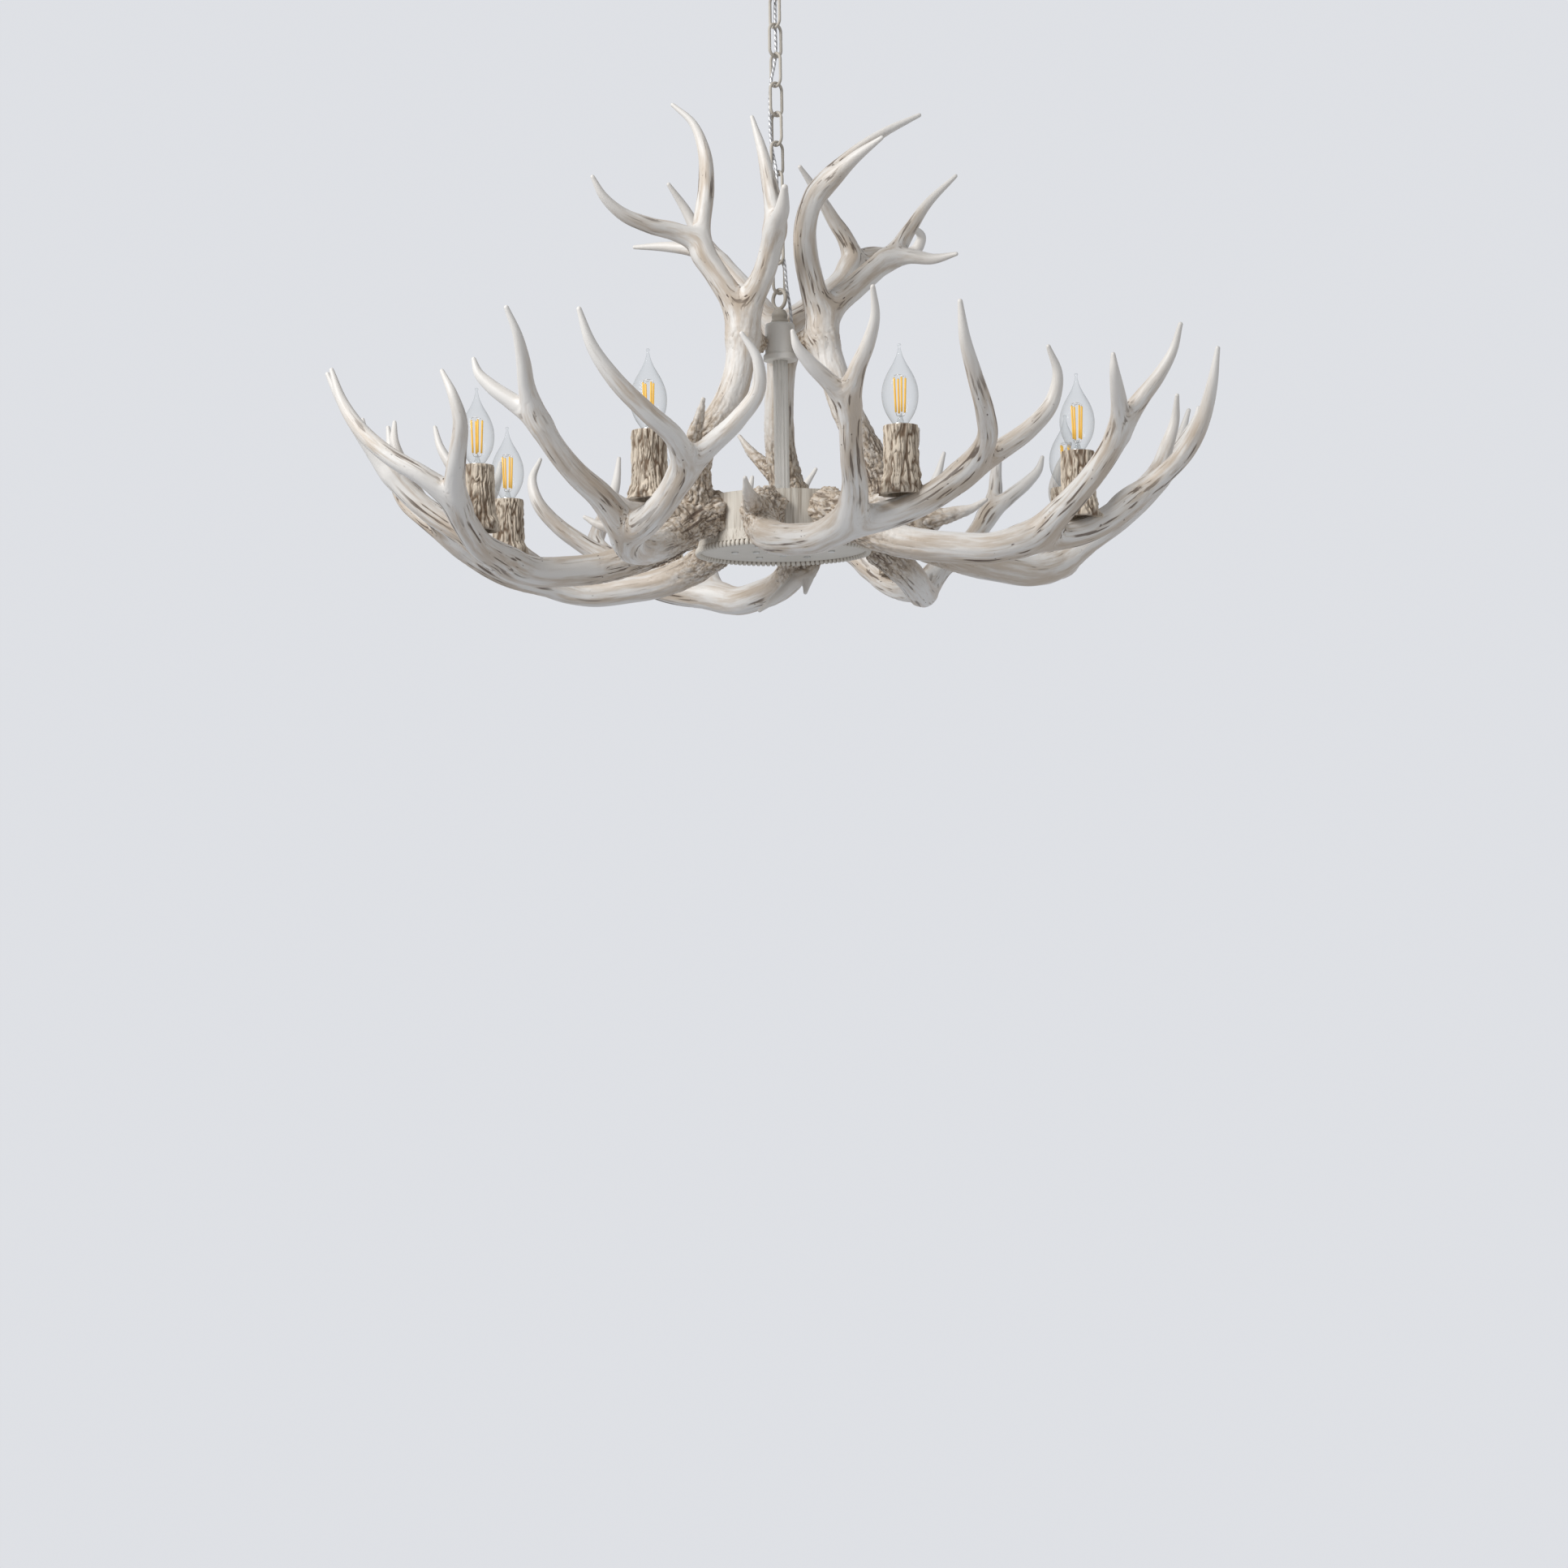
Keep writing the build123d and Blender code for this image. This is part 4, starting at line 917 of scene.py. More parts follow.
def drum_finish(settings):
    """Cream drum with fine upright brown-grey grain."""
    shader = Shader("drum_look", 0.6)
    place = shader.place()
    broad = shader.noise(shader.stretched(place, (120, 120, 7)), detail=3, roughness=0.6)
    fine = shader.noise(shader.stretched(place, (560, 560, 13), (1, 5, 2)), detail=3, roughness=0.6)
    grain = shader.band(fine, 0.5, 0.62) * shader.band(broad, 0.3, 0.6)
    shade = shader.band(broad, 0.42, 0.7) * 0.25
    colour = shader.blend(shade, settings.drum_colour, settings.grain_and_shade_colour)
    colour = shader.blend(grain * 0.62, colour, settings.grain_and_shade_colour)
    shader.paint(Base_Color=colour, Roughness=0.5 + broad * 0.2)
    shader.relief(fine * -1.0 + broad * 0.4, 0.5 * MM)
    return shader.material


def bead_finish(settings):
    """Beads: cream crowns with painted shade in brown toward the gaps between them."""
    shader = Shader("bead_look", 0.55)
    gap = shader.stored("depth")
    speck = shader.noise(shader.place(), 480, 2)
    # Painted shade: brown grows toward each neighbouring bead, where the beads shade one another.
    painted_gap_shade = shader.band(gap + speck * 0.3, 0.65, 1.2)
    shader.paint(Base_Color=shader.blend(painted_gap_shade, settings.drum_colour, settings.grain_and_shade_colour))
    shader.relief(speck, 0.2 * MM)
    return shader.material


def enamel_finish(name, colour, roughness, rub=0.0):
    """Sprayed enamel: faint orange peel, slight shade changes, and dark rub
    marks where rub is above 0."""
    shader = Shader(name, roughness)
    place = shader.place()
    shade = shader.noise(place, 60, 3)
    peel = shader.noise(place, 900, 1)
    mixed = shader.blend(shader.band(shade, 0.3, 0.75) * 0.22, colour, scaled(colour, 0.82))
    worn = shader.band(shader.noise(place, 420, 4, 0.7), 0.72 - 0.2 * rub, 0.9 - 0.2 * rub)
    mixed = shader.blend(worn * rub, mixed, (0.16, 0.12, 0.09))
    shader.paint(Base_Color=mixed, Roughness=shade * 0.12 + (roughness - 0.06))
    shader.relief(peel, 0.06 * MM)
    return shader.material


def plated_finish(name, colour, roughness):
    """Bright plated metal with fine uneven polish."""
    shader = Shader(name, roughness, 1.0)
    place = shader.place()
    cloud = shader.noise(place, 260, 4, 0.6)
    mixed = shader.blend(shader.band(cloud, 0.3, 0.8) * 0.4, colour, scaled(colour, 0.7))
    shader.paint(Base_Color=mixed, Roughness=cloud * 0.2 + (roughness - 0.1))
    shader.relief(cloud, 0.03 * MM)
    return shader.material


def moulded_finish(name, colour):
    """Fine-grained moulded plastic."""
    shader = Shader(name, 0.5)
    speck = shader.noise(shader.place(), 1500, 2)
    shader.paint(Base_Color=shader.blend(speck * 0.12, colour, scaled(colour, 0.8)))
    shader.relief(speck, 0.05 * MM)
    return shader.material


def cord_finish():
    """Silver strands twisted under a clear sheath, drawn along the cord's UV."""
    shader = Shader("cord_look", 0.22)
    layout = shader.wire(shader.node("ShaderNodeUVMap", uv_map="cord"))
    turn = shader.node("ShaderNodeSeparateXYZ", {0: layout})
    around, along = shader.wire(turn, 0), shader.wire(turn, 1)
    lay = (around * 2.0 + along * 170) * (2 * math.pi)
    strands = shader.math("SINE", lay) * 0.5 + 0.5
    shader.paint(
        Base_Color=shader.blend(strands, (0.30, 0.30, 0.31), (0.78, 0.78, 0.79)),
        Metallic=shader.band(strands, 0.2, 0.9) * 0.4, Roughness=strands * -0.08 + 0.3,
        Coat_Weight=0.8, Coat_Roughness=0.06)
    shader.relief(strands, 0.12 * MM)
    return shader.material


def glass_finish(name, clearness, rim_shade_grey):
    """Thin blown glass: clear face on, with gloss and a painted grey shade that grow toward the edge."""
    shader = Shader(name, 0.03)
    # The grey base colour is painted shade on the glass: it shows most toward the rim.
    shader.paint(Base_Color=rim_shade_grey, Metallic=0.0)
    facing = shader.wire(shader.node("ShaderNodeLayerWeight", {"Blend": 0.5}), "Facing")
    showing = (facing**2.4) * 0.85 + (1 - clearness)
    clear = shader.node("ShaderNodeBsdfTransparent", {"Color": (0.985, 0.99, 0.99)})
    layers = {0: showing, 1: shader.wire(clear), 2: shader.wire(shader.surface)}
    mixed = shader.node("ShaderNodeMixShader", layers)
    shader.feed(shader.output.inputs["Surface"], shader.wire(mixed))
    return shader.material


def filament_finish(settings):
    """Amber phosphor sticks with a faint painted glow, even when the bulbs are unlit."""
    shader = Shader("filament_look", 0.55)
    speck = shader.noise(shader.place(), 1800, 2)
    colour = settings.filament_and_glow_colour
    shader.paint(Base_Color=shader.blend(speck * 0.35, colour, (0.98, 0.72, 0.16)))
    # Painted glow: a steady emission of 0.25 lights the sticks even when unlit; filament_glow adds real lamp
    # light on top.
    shader.paint(Emission_Color=colour, Emission_Strength=0.25 + settings.filament_glow)
    shader.relief(speck, 0.05 * MM)
    return shader.material


def settle(made, finish, node, body):
    """Give a piece its finish and slot, the node it stands for and its body."""
    made.data.materials.append(finish)
    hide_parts(node)
    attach(made, body)


def finish_node(name, finish):
    """Give a CAD node's own object a finish."""
    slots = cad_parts[name].data.materials
    slots.clear()
    slots.append(finish)


# ---------------------------------------------------------------- pieces
def light_place(number):
    """Middle of one candle light at its sleeve's top."""
    name = f"candle_sleeve_{number}"
    return np.array((*node_middle(name)[:2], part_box(name)[1][2]))


def root_azimuth(number):
    """Direction of one lower antler's root from the front, read from its light."""
    x, y, _ = light_place(number)
    return math.atan2(x, -y) - LIGHT_SWING


class ANTLERLAMP_OT_cord(bpy.types.Operator):
    """Make the power cord as one run beside the chain, cut at the middle of each link"""

    bl_idname = "antlerlamp.cord"
    bl_label = "Power Cord"

    def execute(self, context):
        settings = context.scene.antler_lamp.hub
        line = self.centre_line(turned(np.array(CORD_ROUTE) * MM, CHAIN_TURN))
        finish = cord_finish()
        bodies = ["canopy"] + [f"link_{number:02d}" for number in range(1, LINKS + 1)] + ["chandelier"]
        middles = [float(node_middle(f"chain_link_{number:02d}")[2]) for number in range(1, LINKS + 1)]
        cuts = [line[0, 2]] + middles + [line[-1, 2]]
        travelled = 0.0
        for number, (upper, lower) in enumerate(zip(bodies, bodies[1:])):
            part = self.between(line, cuts[number], cuts[number + 1])
            length = float(travel(part)[-1])
            made = self.sheath(f"cord_part_{number + 1:02d}", part, settings.cord_diameter / 2, travelled)
            made.data.materials.append(finish)
            travelled += length
            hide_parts("power_cord")
            pivot = self.pivot(number, middles)
            reach = min(abs(pivot - cuts[number + 1]), abs(pivot - cuts[number]))
            pivot + reach
            pivot - reach
            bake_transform(made)
        return {"FINISHED"}

    @staticmethod
    def centre_line(points):
        """The route's smooth line, read from its NURBS spline."""
        curve = bpy.data.curves.new("cord_route", "CURVE")
        curve.dimensions = "3D"
        spline = curve.splines.new("NURBS")
        spline.points.add(len(points) - 1)
        for target, point in zip(spline.points, points):
            target.co = (*point, 1)
        spline.order_u = 3
        spline.use_endpoint_u = True
        spline.resolution_u = 24
        carrier = bpy.data.objects.new("cord_route", curve)
        bpy.context.scene.collection.objects.link(carrier)
        depsgraph = bpy.context.evaluated_depsgraph_get()
        line = read_points(bpy.data.meshes.new_from_object(carrier.evaluated_get(depsgraph)))
        bpy.data.objects.remove(carrier)
        bpy.data.curves.remove(curve)
        return line

    @staticmethod
    def between(line, high, low):
        """The stretch of a falling line between two heights, cut exactly there."""
        heights = line[:, 2]
        inside = line[(heights < high - 1e-7) & (heights > low + 1e-7)]
        ends = [[np.interp(-cut, -heights, line[:, axis]) for axis in range(3)] for cut in (high, low)]
        return np.concatenate(([ends[0]], inside, [ends[1]]))

    @staticmethod
    def pivot(number, middles):
        """Height where one chain piece hangs in the one above."""
        pitch = middles[0] - middles[1]
        return middles[number] + pitch / 2 if number < len(middles) else middles[-1] - pitch / 2

    @staticmethod
    def sheath(name, part, radius, travelled):
        """Tube along the cord with a UV map of turn and length."""
        columns = 10
        points, quads, triangles = tube(part, radius, columns, first_side=(1, 0, 0))
        made = mesh_object(name, points, quads, triangles)
        along = travelled + travel(part)
        corners = np.empty(len(made.data.loops), np.int32)
        made.data.loops.foreach_get("vertex_index", corners)
        ring = np.minimum(corners // columns, len(part) - 1)
        turn = (corners % columns) / columns
        starts = np.arange(len(quads)) * 4
        wraps = np.zeros(len(corners), bool)
        wraps[:quads.size] = np.repeat(corners[starts] % columns == columns - 1, 4) & (turn[:quads.size] == 0)
        layer = made.data.uv_layers.new(name="cord")
        layer.data.foreach_set("uv", np.column_stack((turn + wraps, along[ring])).astype(np.float32).ravel())
        return made


class ANTLERLAMP_OT_ceiling(bpy.types.Operator):
    """Finish the canopy, its crossbar, its fixings and its ring"""

    bl_idname = "antlerlamp.ceiling"
    bl_label = "Ceiling Fitting"

    def execute(self, context):
        settings = context.scene.antler_lamp.hub
        enamel = enamel_finish("enamel_look", settings.enamel_colour, 0.42)
        painted = enamel_finish("chain_look", settings.chain_colour, 0.5, 0.5)
        zinc = plated_finish("zinc_look", (0.62, 0.62, 0.60), 0.38)
        finish_node("canopy", enamel)
        finish_node("canopy_loop", painted)
        for name in ("mounting_crossbar", "canopy_fasteners", "tie_rod", "hub_fasteners"):
            finish_node(name, zinc)
        return {"FINISHED"}


class ANTLERLAMP_OT_chain(bpy.types.Operator):
    """Bend the chain's wire links, each turned a quarter from the last"""

    bl_idname = "antlerlamp.chain"
    bl_label = "Chain"

    def execute(self, context):
        painted = bpy.data.materials["chain_look"]
        for number in range(1, LINKS + 1):
            node = f"chain_link_{number:02d}"
            low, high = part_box(node)
            shape = self.link(node_middle(node), high[2] - low[2], number)
            made = mesh_object(f"wire_link_{number:02d}", *shape)
            settle(made, painted, node, f"link_{number:02d}")
        return {"FINISHED"}

    @staticmethod
    def link(centre, length, quarter_turns):
        """Round wire along an oval of two straight sides and two half circles,
        standing in the plane of its quarter turn; the wire is a little flat at
        the butted joint in one side."""
        arc = (LINK_WIDTH - CHAIN_WIRE) / 2
        straight = (length - LINK_WIDTH) / 2
        turn = np.linspace(0, math.pi, 17)
        sides = np.linspace(-1, 1, 9)[1:-1]
        outline = np.concatenate((
            np.column_stack((arc * np.cos(turn), straight + arc * np.sin(turn))),
            np.column_stack((np.full(len(sides), -arc), -straight * sides)),
            np.column_stack((-arc * np.cos(turn), -straight - arc * np.sin(turn))),
            np.column_stack((np.full(len(sides), arc), straight * sides)),
        ))
        angle = CHAIN_TURN + quarter_turns * math.pi / 2
        flat = np.outer(outline[:, 0], (math.cos(angle), math.sin(angle), 0))
        path = centre + flat + np.outer(outline[:, 1], (0, 0, 1))
        seam = np.abs(outline[:, 1]) + 1e3 * (outline[:, 0] > 0)
        radius = CHAIN_WIRE / 2 * (1 - 0.09 * np.exp(-(seam / (1.2 * MM)) ** 2))
        normal = (math.sin(angle), -math.cos(angle), 0)
        return tube(path, radius, 14, closed=True, first_side=normal)


class ANTLERLAMP_OT_crown(bpy.types.Operator):
    """Turn the finial, collar and fluted post"""

    bl_idname = "antlerlamp.crown"
    bl_label = "Crown and Post"

    def execute(self, context):
        enamel = bpy.data.materials["enamel_look"]
        painted = bpy.data.materials["chain_look"]
        collar_low, collar_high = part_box("collar")
        bottom, top = collar_low[2], collar_high[2]
        half, flange = 15.5 * MM, 17.5 * MM
        corners = [
            (0.1 * MM, bottom), (flange, bottom), (flange, bottom + 6 * MM), (half, bottom + 7.2 * MM),
            (half, top - 2.5 * MM), (half - 0.8 * MM, top), (0.1 * MM, top),
        ]
        collar = mesh_object("collar_turned", *lathe(rounded_profile(corners, 1.4 * MM), AXIS_FOOT, 72))
        settle(collar, enamel, "collar", "chandelier")
        crown_low, crown_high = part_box("crown_loop")
        ring_radius, wire = 10 * MM, 4 * MM
        ring_z = crown_high[2] - ring_radius - wire / 2
        boss = crown_low[2]
        corners = [
            (0.1 * MM, boss), (9 * MM, boss), (9 * MM, boss + 3 * MM), (7.6 * MM, boss + 5 * MM),
            (8.6 * MM, boss + 9 * MM), (6.4 * MM, boss + 14 * MM), (3 * MM, boss + 16 * MM),
            (0.1 * MM, boss + 16 * MM),
        ]
        turn = np.linspace(0, 2 * math.pi, 40, endpoint=False)
        angle = CHAIN_TURN + (LINKS + 1) * math.pi / 2
        across = (math.cos(angle), math.sin(angle), 0)
        circle = np.outer(np.cos(turn), across) + np.outer(np.sin(turn), (0, 0, 1))
        ring = ring_radius * circle + (0, 0, ring_z)
        finial = mesh_object("finial_ring", *joined([
            lathe(rounded_profile(corners, 1.5 * MM), AXIS_FOOT, 48),
            tube(ring, wire / 2, 14, closed=True, first_side=(math.sin(angle), -math.cos(angle), 0)),
        ]))
        settle(finial, painted, "crown_loop", "chandelier")
        post_low, post_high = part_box("post")
        heights = np.linspace(post_low[2], post_high[2], 12)
        profile = np.column_stack((np.full(len(heights), POST_RADIUS), heights))
        post = mesh_object("post_fluted", *lathe(profile, AXIS_FOOT, 144, self.flutes))
        settle(post, enamel, "post", "chandelier")
        return {"FINISHED"}

    @staticmethod
    def flutes(angle, height):
        """Twelve hollow flutes: r = -depth * |cos 6a| to the power 1.5."""
        depth, flutes = 1.2 * MM, 12
        return -depth * np.abs(np.cos(flutes / 2 * angle)) ** 1.5 * np.ones_like(height)


class ANTLERLAMP_OT_hub(bpy.types.Operator):
    """Finish the hub drum and its plates, and string its ring of beads"""

    bl_idname = "antlerlamp.hub"
    bl_label = "Hub Drum"

    BEADS_OUT = 2.6 * MM
    BEADS_DOWN = 0.9 * MM

    def execute(self, context):
        settings = context.scene.antler_lamp.hub
        finish_node("drum_shell", drum_finish(settings))
        finish_node("hub_plates", bpy.data.materials["enamel_look"])
        finish_node("hub_base_plate", enamel_finish("plate_look", settings.drum_colour, 0.55, 0.4))
        points, quads, triangles, gap = self.beads(settings)
        made = mesh_object("bead_string", points, quads, triangles)
        write_attribute(made, "depth", gap)
        settle(made, bead_finish(settings), "bead_ring", "chandelier")
        return {"FINISHED"}

    def beads(self, settings):
        """Hanging beads around a ring: each is a lathe of (r sin b, -1.4 r cos b),
        moved out to its place; the gap value, which places the painted shade between beads, grows toward the
        next bead."""
        ring_radius = DRUM_RADIUS + self.BEADS_OUT
        height = node_middle("bead_ring")[2] - self.BEADS_DOWN
        rise = np.linspace(0, math.pi, 7)[1:-1]
        profile = settings.bead_radius * np.column_stack((np.sin(rise), -1.4 * np.cos(rise)))
        parts, gaps = [], []
        for angle in np.linspace(0, 2 * math.pi, settings.beads, endpoint=False):
            centre = (ring_radius * math.cos(angle), ring_radius * math.sin(angle), height)
            ball = lathe(profile, centre, 8)
            parts.append(ball)
            along = np.array((-math.sin(angle), math.cos(angle), 0))
            gaps.append(np.abs((ball[0] - centre) @ along) / settings.bead_radius)
        return (*joined(parts), np.concatenate(gaps))


class ANTLERLAMP_OT_lower_antlers(bpy.types.Operator):
    """Cast the eight antlers that stand out from the hub"""

    bl_idname = "antlerlamp.lower_antlers"
    bl_label = "Lower Antlers"

    def execute(self, context):
        settings = context.scene.antler_lamp.antler
        finish = horn_finish(settings)
        stations = cast_stations(LOWER_RUNS)
        cast = cast_antler("lower_cast", stations, settings, LOWER_SEED, [DRUM_WALL])
        for number in range(1, LIGHTS + 1):
            azimuth = root_azimuth(number)
            shape = cast
            if number == SPUR_ANTLER:
                spurs = {name: turned(run, -azimuth) for name, run in SPUR_RUNS.items()}
                shape = cast_antler("spur_cast", {**stations, **spurs}, settings, LOWER_SEED, [DRUM_WALL])
            made = place_antler(f"horn_lower_{number}", shape, azimuth)
            settle(made, finish, f"lower_antler_{number}", "chandelier")
        return {"FINISHED"}


class ANTLERLAMP_OT_upper_antlers(bpy.types.Operator):
    """Cast the three antlers that stand around the post"""

    bl_idname = "antlerlamp.upper_antlers"
    bl_label = "Upper Antlers"

    def execute(self, context):
        settings = context.scene.antler_lamp.antler
        finish = bpy.data.materials["horn_look"]
        for seed, (side, runs) in enumerate(UPPER_RUNS.items(), UPPER_SEED):
            shape = cast_antler(f"{side}_cast", runs, settings, seed, [COLLAR_WALL, DRUM_WALL])
            made = place_antler(f"horn_upper_{side}", shape, 0.0)
            settle(made, finish, f"upper_antler_{side}", "chandelier")
        return {"FINISHED"}


class ANTLERLAMP_OT_sleeves(bpy.types.Operator):
    """Model the bark-textured candle sleeves and finish their lampholders"""

    bl_idname = "antlerlamp.sleeves"
    bl_label = "Candle Sleeves"

    COLUMNS = 176
    HEIGHT = 66 * MM
    BORE = 13.6 * MM

    def execute(self, context):
        settings = context.scene.antler_lamp.bark
        finish = bark_finish(settings)
        finish_node("lampholders", moulded_finish("holder_look", (0.80, 0.79, 0.75)))
        for number in range(1, LIGHTS + 1):
            points, quads, depth = self.bark(light_place(number), number, settings.relief)
            made = mesh_object(f"bark_sleeve_{number}", points, quads)
            write_attribute(made, "depth", depth)
            settle(made, finish, f"candle_sleeve_{number}", "chandelier")
        return {"FINISHED"}

    def bark(self, top, seed, relief):
        """Closed wall: up the outside, over the lip and down the bore.  Outside,
        r = R(h) + relief * (ridges - furrows), where the furrows are the folds
        |field| near 0, long and upright, and the foot swells into lumps."""
        field = Lattice(SLEEVE_SEED + seed)
        columns = self.COLUMNS
        angle = np.linspace(0, 2 * math.pi, columns, endpoint=False)
        drop = np.concatenate((np.linspace(1, 0.03, 64), [0.012, 0.0]))
        foot = ease(drop, 0.55, 1.0)
        outer = (16.3 + 0.6 * drop + 4.4 * foot**1.6) * MM
        around = np.stack((np.cos(angle), np.sin(angle)), axis=-1) * 16.5 * MM
        rows = len(drop)
        sides = np.broadcast_to(around[None], (rows, columns, 2))
        falls = np.broadcast_to((drop * self.HEIGHT)[:, None, None], (rows, columns, 1))
        place = np.concatenate((sides, falls), axis=-1).reshape(-1, 3) / MM
        slow = place / (9, 9, 11)
        bend = 1.5 * np.column_stack((field(slow), field(slow + 9), np.zeros(len(place))))
        folds = np.abs(field((place + bend) / (2.9, 2.9, 24.0) + 3))
        small = np.abs(field((place + bend) / (1.8, 1.8, 13.0) + 17))
        furrow = np.maximum(1 - ease(folds, 0.0, 0.34), 0.75 * (1 - ease(small, 0.0, 0.30)))
        lumps = field.layered(place / (6.0, 6.0, 6.5) + 31, 2)
        furrow, lumps = furrow.reshape(rows, columns), lumps.reshape(rows, columns)
        strength = np.where(drop < 0.02, 0.35, 1.0)[:, None]
        reach = outer[:, None] + strength * relief * (0.5 - furrow + (0.3 + 1.6 * foot[:, None]) * lumps)
        reach = np.maximum(reach, self.BORE + 0.8 * MM)

        def rings(reach, drop):
            fall = np.broadcast_to(-(drop * self.HEIGHT)[:, None], (len(drop), columns))
            return np.stack((reach * np.cos(angle), reach * np.sin(angle), fall), axis=-1)

        bore_drop = np.array((0.0, 0.01, 0.7, 1.0))
        bore_reach = np.full((4, 1), self.BORE) + np.array((0.9, 0.1, 0.0, 0.0))[:, None] * MM
        grid = np.concatenate((rings(reach, drop), rings(bore_reach, bore_drop))) + top
        depth = np.concatenate((np.clip(furrow, 0, 1), np.full((4, columns), 0.35)))
        return grid.reshape(-1, 3), grid_faces(rows + 4, columns, True), depth.ravel()


class ANTLERLAMP_OT_bulbs(bpy.types.Operator):
    """Blow the flame-tip bulbs and fit their caps, stems, wires and sticks"""

    bl_idname = "antlerlamp.bulbs"
    bl_label = "Bulbs"

    STICKS = 4
    STICK_LOW, STICK_LOW_SPREAD = 13 * MM, 4.4 * MM
    STICK_HIGH, STICK_HIGH_SPREAD = 46 * MM, 5.6 * MM
    LEAD, JOINING_WIRE = 0.35 * MM, 0.3 * MM
    STEP = 1 * MM

    def execute(self, context):
        settings = context.scene.antler_lamp.bulb
        finishes = {
            # The greys given to the glass and the stem are their painted rim shade.
            "glass": glass_finish("glass_look", settings.clearness, (0.50, 0.53, 0.55)),
            "stem": glass_finish("stem_look", 0.75, (0.62, 0.65, 0.66)),
            "cap": plated_finish("cap_look", (0.74, 0.74, 0.73), 0.22),
            "wires": plated_finish("wire_look", (0.62, 0.60, 0.58), 0.3),
            "sticks": filament_finish(settings),
        }
        outline = smooth_path([(r, h, 0) for h, r in np.array(BULB_PROFILE) * MM], 1.2 * MM)[:, :2]
        for number in range(1, LIGHTS + 1):
            top = light_place(number)
            turn = 0.39 + 0.16 * math.sin(2.1 * number)
            shapes = {
                "glass": lathe(outline, top, 48),
                "stem": lathe(np.array(STEM_PROFILE) * MM, top, 20),
                "cap": self.cap(top),
                "wires": self.wires(top, turn),
                "sticks": self.sticks(top, turn, settings.stick_radius),
            }
            for key, shape in shapes.items():
                made = mesh_object(f"bulb_{key}_piece_{number}", *shape)
                made.data.materials.append(finishes[key])
                "bulb_glass" if key in ("glass", "stem") else "bulb_cap"
                if key in ("glass", "cap"):
                    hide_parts(f"bulb_glass_{number}" if key == "glass" else f"bulb_core_{number}")
                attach(made, f"bulb_{number}")
        return {"FINISHED"}

    def rod_ends(self, top, turn):
        """Bottom and top of each stick, a little splayed."""
        angle = turn + np.arange(self.STICKS) * 2 * math.pi / self.STICKS
        spread = np.stack((np.cos(angle), np.sin(angle), np.zeros(self.STICKS)), axis=-1)
        lows = top + self.STICK_LOW_SPREAD * spread + (0, 0, self.STICK_LOW)
        return lows, top + self.STICK_HIGH_SPREAD * spread + (0, 0, self.STICK_HIGH)

    def sticks(self, top, turn, radius):
        ends = zip(*self.rod_ends(top, turn))
        return joined([
            tube(np.linspace(low, high, 4), radius, 10, first_side=(1, 0, 0)) for low, high in ends
        ])

    def wires(self, top, turn):
        """Leads from the stem to the sticks, and the arcs that join their tops."""
        lows, highs = self.rod_ends(top, turn)
        neck = top + (0, 0, 9 * MM)
        parts = []
        for low, high in zip(lows, highs):
            bend = (low + neck) / 2 + (low - neck) * (0.3, 0.3, 0) - (0, 0, 1.2 * MM)
            foot = smooth_path([neck, bend, low], self.STEP)
            parts.append(tube(foot, self.JOINING_WIRE, 6, first_side=(0, 1, 0.1)))
            lead = np.linspace(high, high + (0, 0, 2.2 * MM), 3)
            parts.append(tube(lead, self.LEAD, 6, first_side=(1, 0, 0)))
        rims = [high + (0, 0, 2.0 * MM) for high in highs]
        for start, end in zip(rims[::2], rims[1::2]):
            middle = (start + end) / 2
            middle = middle + (middle - top) * (0.25, 0.25, 0) + (0, 0, 0.8 * MM)
            arc = smooth_path([start, middle, end], self.STEP)
            parts.append(tube(arc, self.JOINING_WIRE, 6, first_side=(0, 0, 1)))
        return joined(parts)

    @staticmethod
    def cap(top):
        """Screw cap: r = R + depth * sin(2 pi h / pitch - a), a true helix,
        under a plain collar that holds the glass."""
        pitch, depth = 3.0 * MM, 0.35 * MM
        contact = [(1.2, -24), (3.2, -23.6), (4.2, -22.6)]
        barrel = [(6.5, height) for height in np.linspace(-22, -5, 52)]
        collar = [(6.6, -4), (6.7, -3), (7.4, -2), (7.5, 1.6), (7.3, 2.2), (6.4, 2.2)]
        rows = np.array(contact + barrel + collar) * MM

        def waves(angle, height):
            fade = ease(height, -22.3 * MM, -20 * MM) * (1 - ease(height, -7 * MM, -4.5 * MM))
            return depth * fade * np.sin(2 * math.pi * height / pitch - angle)

        return lathe(rows, top, 40, waves)


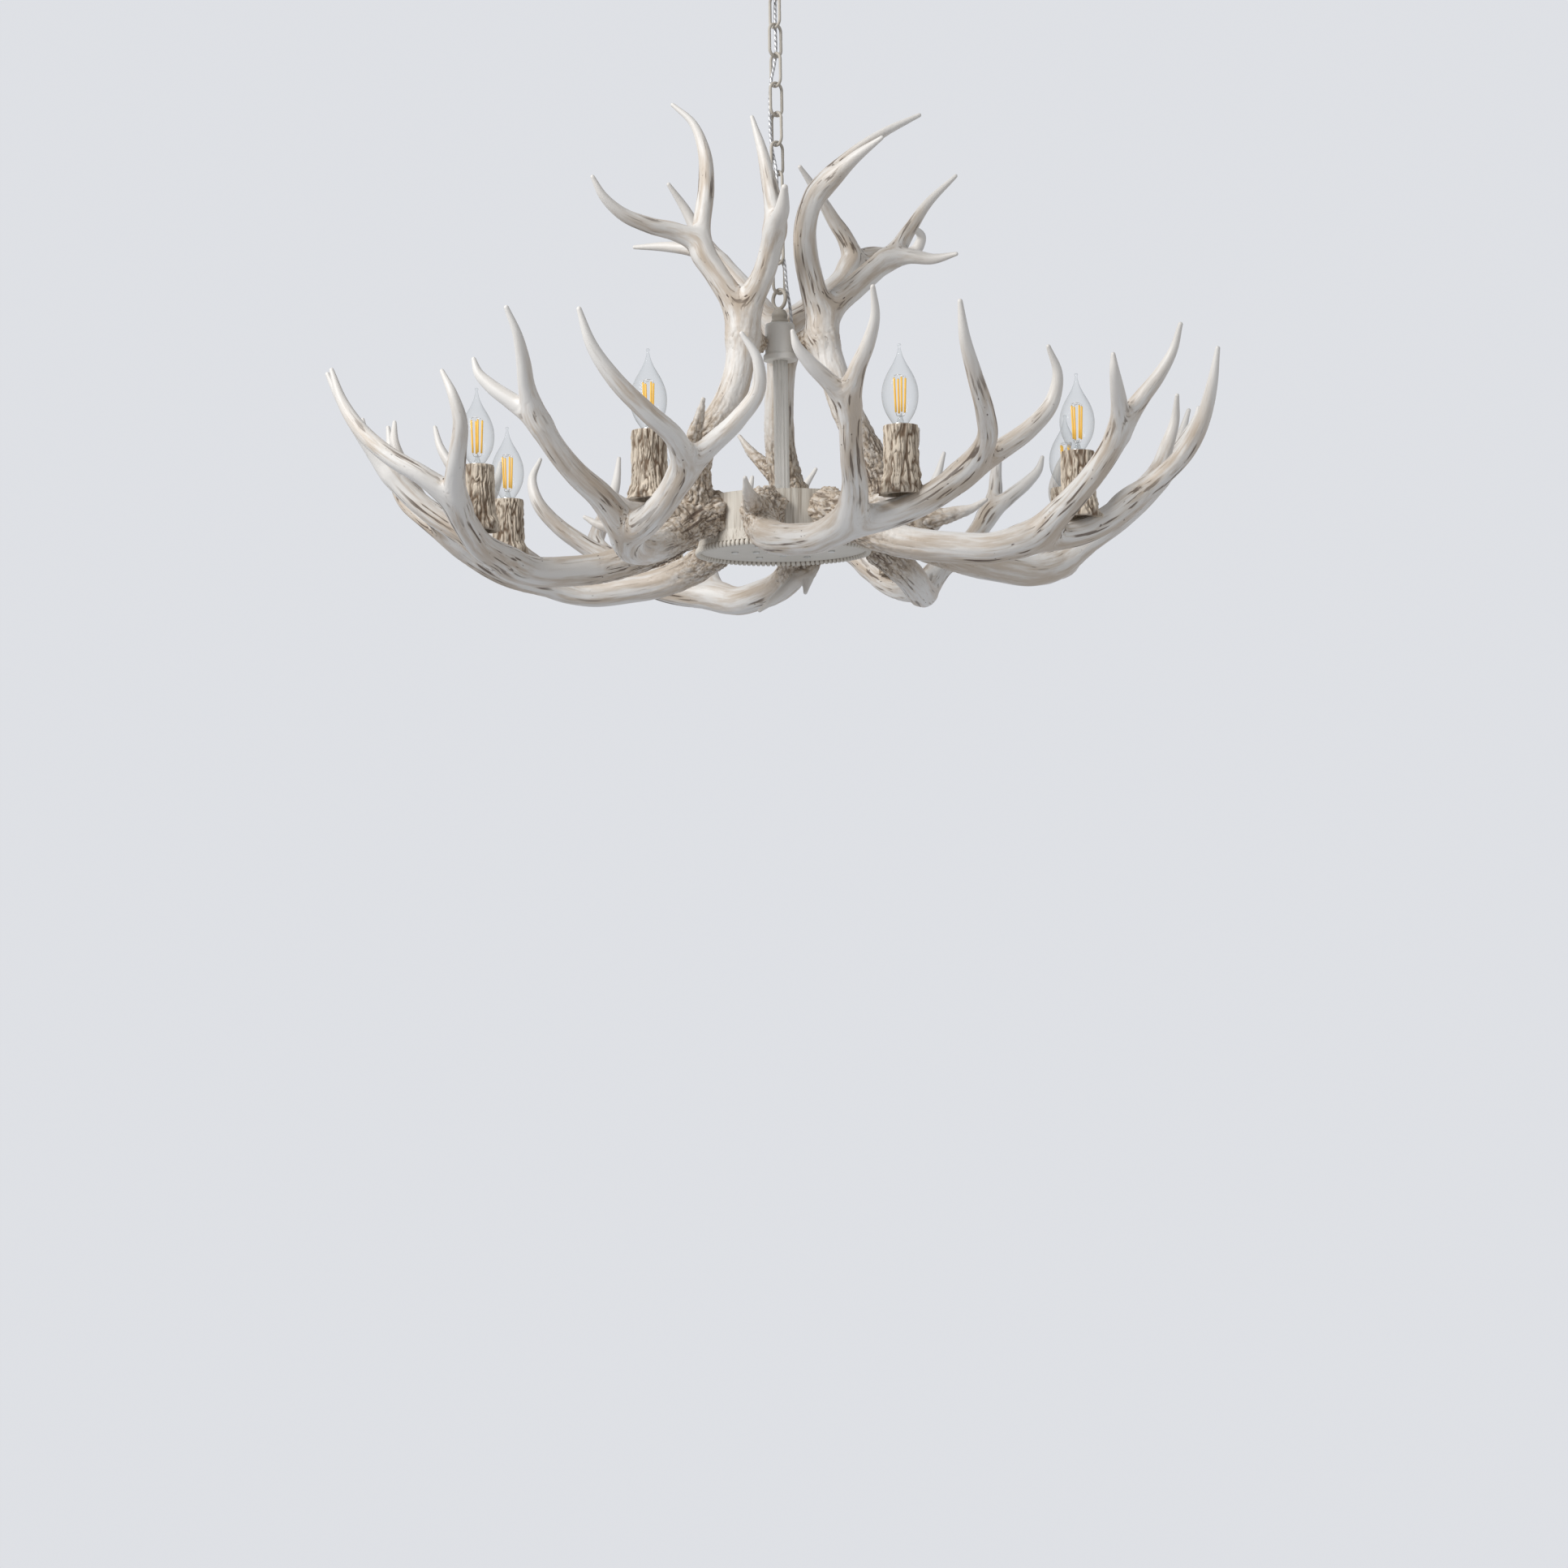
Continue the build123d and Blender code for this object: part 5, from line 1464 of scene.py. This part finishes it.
class ANTLERLAMP_OT_stage(bpy.types.Operator):
    """Set the pale stage, the soft lamps and the camera"""

    bl_idname = "antlerlamp.stage"
    bl_label = "Stage"

    def execute(self, context):
        settings = context.scene.antler_lamp.stage
        self.floor(settings)
        self.lamp("key", *KEY_LAMP, settings.key_power)
        self.lamp("fill", *FILL_LAMP, settings.fill_power)
        self.world(settings)
        data = bpy.data.cameras.new("camera")
        data.sensor_width = 36
        data.lens = settings.lens
        data.clip_end = 50
        camera = bpy.data.objects.new("camera", data)
        camera.location = settings.camera_place
        camera.rotation_mode = "XYZ"
        camera.rotation_euler = (math.pi / 2 + settings.pitch, 0, 0)
        context.scene.collection.objects.link(camera)
        context.view_layer.update()
        camera.matrix_world = camera.matrix_world @ Matrix.Rotation(-settings.roll, 4, "Z")
        context.scene.camera = camera
        context.scene.view_settings.view_transform = "Standard"
        return {"FINISHED"}

    @staticmethod
    def floor(settings):
        """Round pale floor far below the lamp: a fan of (r cos a, r sin a)."""
        count = 128
        angle = np.linspace(0, 2 * math.pi, count, endpoint=False)
        rim = np.column_stack((np.cos(angle), np.sin(angle), np.zeros(count))) * FLOOR_RADIUS
        corner = np.arange(count)
        fan = np.column_stack((np.full(count, count), corner, (corner + 1) % count))
        points = np.concatenate((rim, [AXIS_FOOT])) + (0, 0, FLOOR_DEPTH)
        made = mesh_object("floor", points, np.empty((0, 4)), fan)
        shader = Shader("floor_pale", 0.8)
        speck = shader.noise(shader.place(), 40, 2)
        darker = scaled(settings.backdrop, 0.96)
        shader.paint(Base_Color=shader.blend(speck * 0.06, settings.backdrop, darker))
        made.data.materials.append(shader.material)

    @staticmethod
    def lamp(name, place, target, size, power):
        """Large soft area lamp aimed at a point."""
        data = bpy.data.lights.new(name, "AREA")
        data.size = size
        data.energy = power
        made = bpy.data.objects.new(name, data)
        made.location = place
        made.rotation_euler = (Vector(target) - Vector(place)).to_track_quat("-Z", "Y").to_euler()
        bpy.context.scene.collection.objects.link(made)

    @staticmethod
    def world(settings):
        """Even room light, with the pale backdrop shown to the camera and in
        reflections and glass."""
        world = bpy.data.worlds.new("room")
        bpy.context.scene.world = world
        world.use_nodes = True
        room = Nodes(world.node_tree)
        light = room.tree.nodes["Background"]
        room.feed(light.inputs["Color"], ROOM_COLOUR)
        room.feed(light.inputs["Strength"], settings.sky)
        shown = room.node("ShaderNodeBackground", {"Color": settings.backdrop})
        path = room.node("ShaderNodeLightPath")
        seen = room.most(room.wire(path, "Is Camera Ray"), room.wire(path, "Is Glossy Ray"))
        seen = room.most(seen, room.wire(path, "Is Transmission Ray"))
        mixed = room.node("ShaderNodeMixShader", {0: seen, 1: room.wire(light), 2: room.wire(shown)})
        room.feed(room.tree.nodes["World Output"].inputs["Surface"], room.wire(mixed))


OPERATORS = [
    ANTLERLAMP_OT_cord, ANTLERLAMP_OT_ceiling, ANTLERLAMP_OT_chain, ANTLERLAMP_OT_crown, ANTLERLAMP_OT_hub,
    ANTLERLAMP_OT_lower_antlers, ANTLERLAMP_OT_upper_antlers, ANTLERLAMP_OT_sleeves, ANTLERLAMP_OT_bulbs,
    ANTLERLAMP_OT_stage,
]
GROUPS = [AntlerSettings, BarkSettings, HubSettings, BulbSettings, StageSettings, LampSettings]


class ANTLERLAMP_PT_panel(bpy.types.Panel):
    """Lists the chandelier's pieces and their settings"""

    bl_label = "Antler Lamp"
    bl_idname = "ANTLERLAMP_PT_panel"
    bl_space_type = "VIEW_3D"
    bl_region_type = "UI"
    bl_category = "Antler Lamp"

    def draw(self, context):
        lamp = context.scene.antler_lamp
        for name in ("antler", "bark", "hub", "bulb", "stage"):
            box = self.layout.box()
            box.label(text=name.title())
            group = getattr(lamp, name)
            for key in group.__annotations__:
                box.prop(group, key)
        for operator in OPERATORS:
            self.layout.operator(operator.bl_idname)


def register():
    for item in [*GROUPS, *OPERATORS, ANTLERLAMP_PT_panel]:
        bpy.utils.register_class(item)
    bpy.types.Scene.antler_lamp = bpy.props.PointerProperty(type=LampSettings)


def unregister():
    del bpy.types.Scene.antler_lamp
    for item in reversed([*GROUPS, *OPERATORS, ANTLERLAMP_PT_panel]):
        bpy.utils.unregister_class(item)


def main():
    """Build every piece in order."""
    register()
    for operator in OPERATORS:
        space, name = operator.bl_idname.split(".")
        getattr(getattr(bpy.ops, space), name)()


if __name__ == "__main__":
    main()
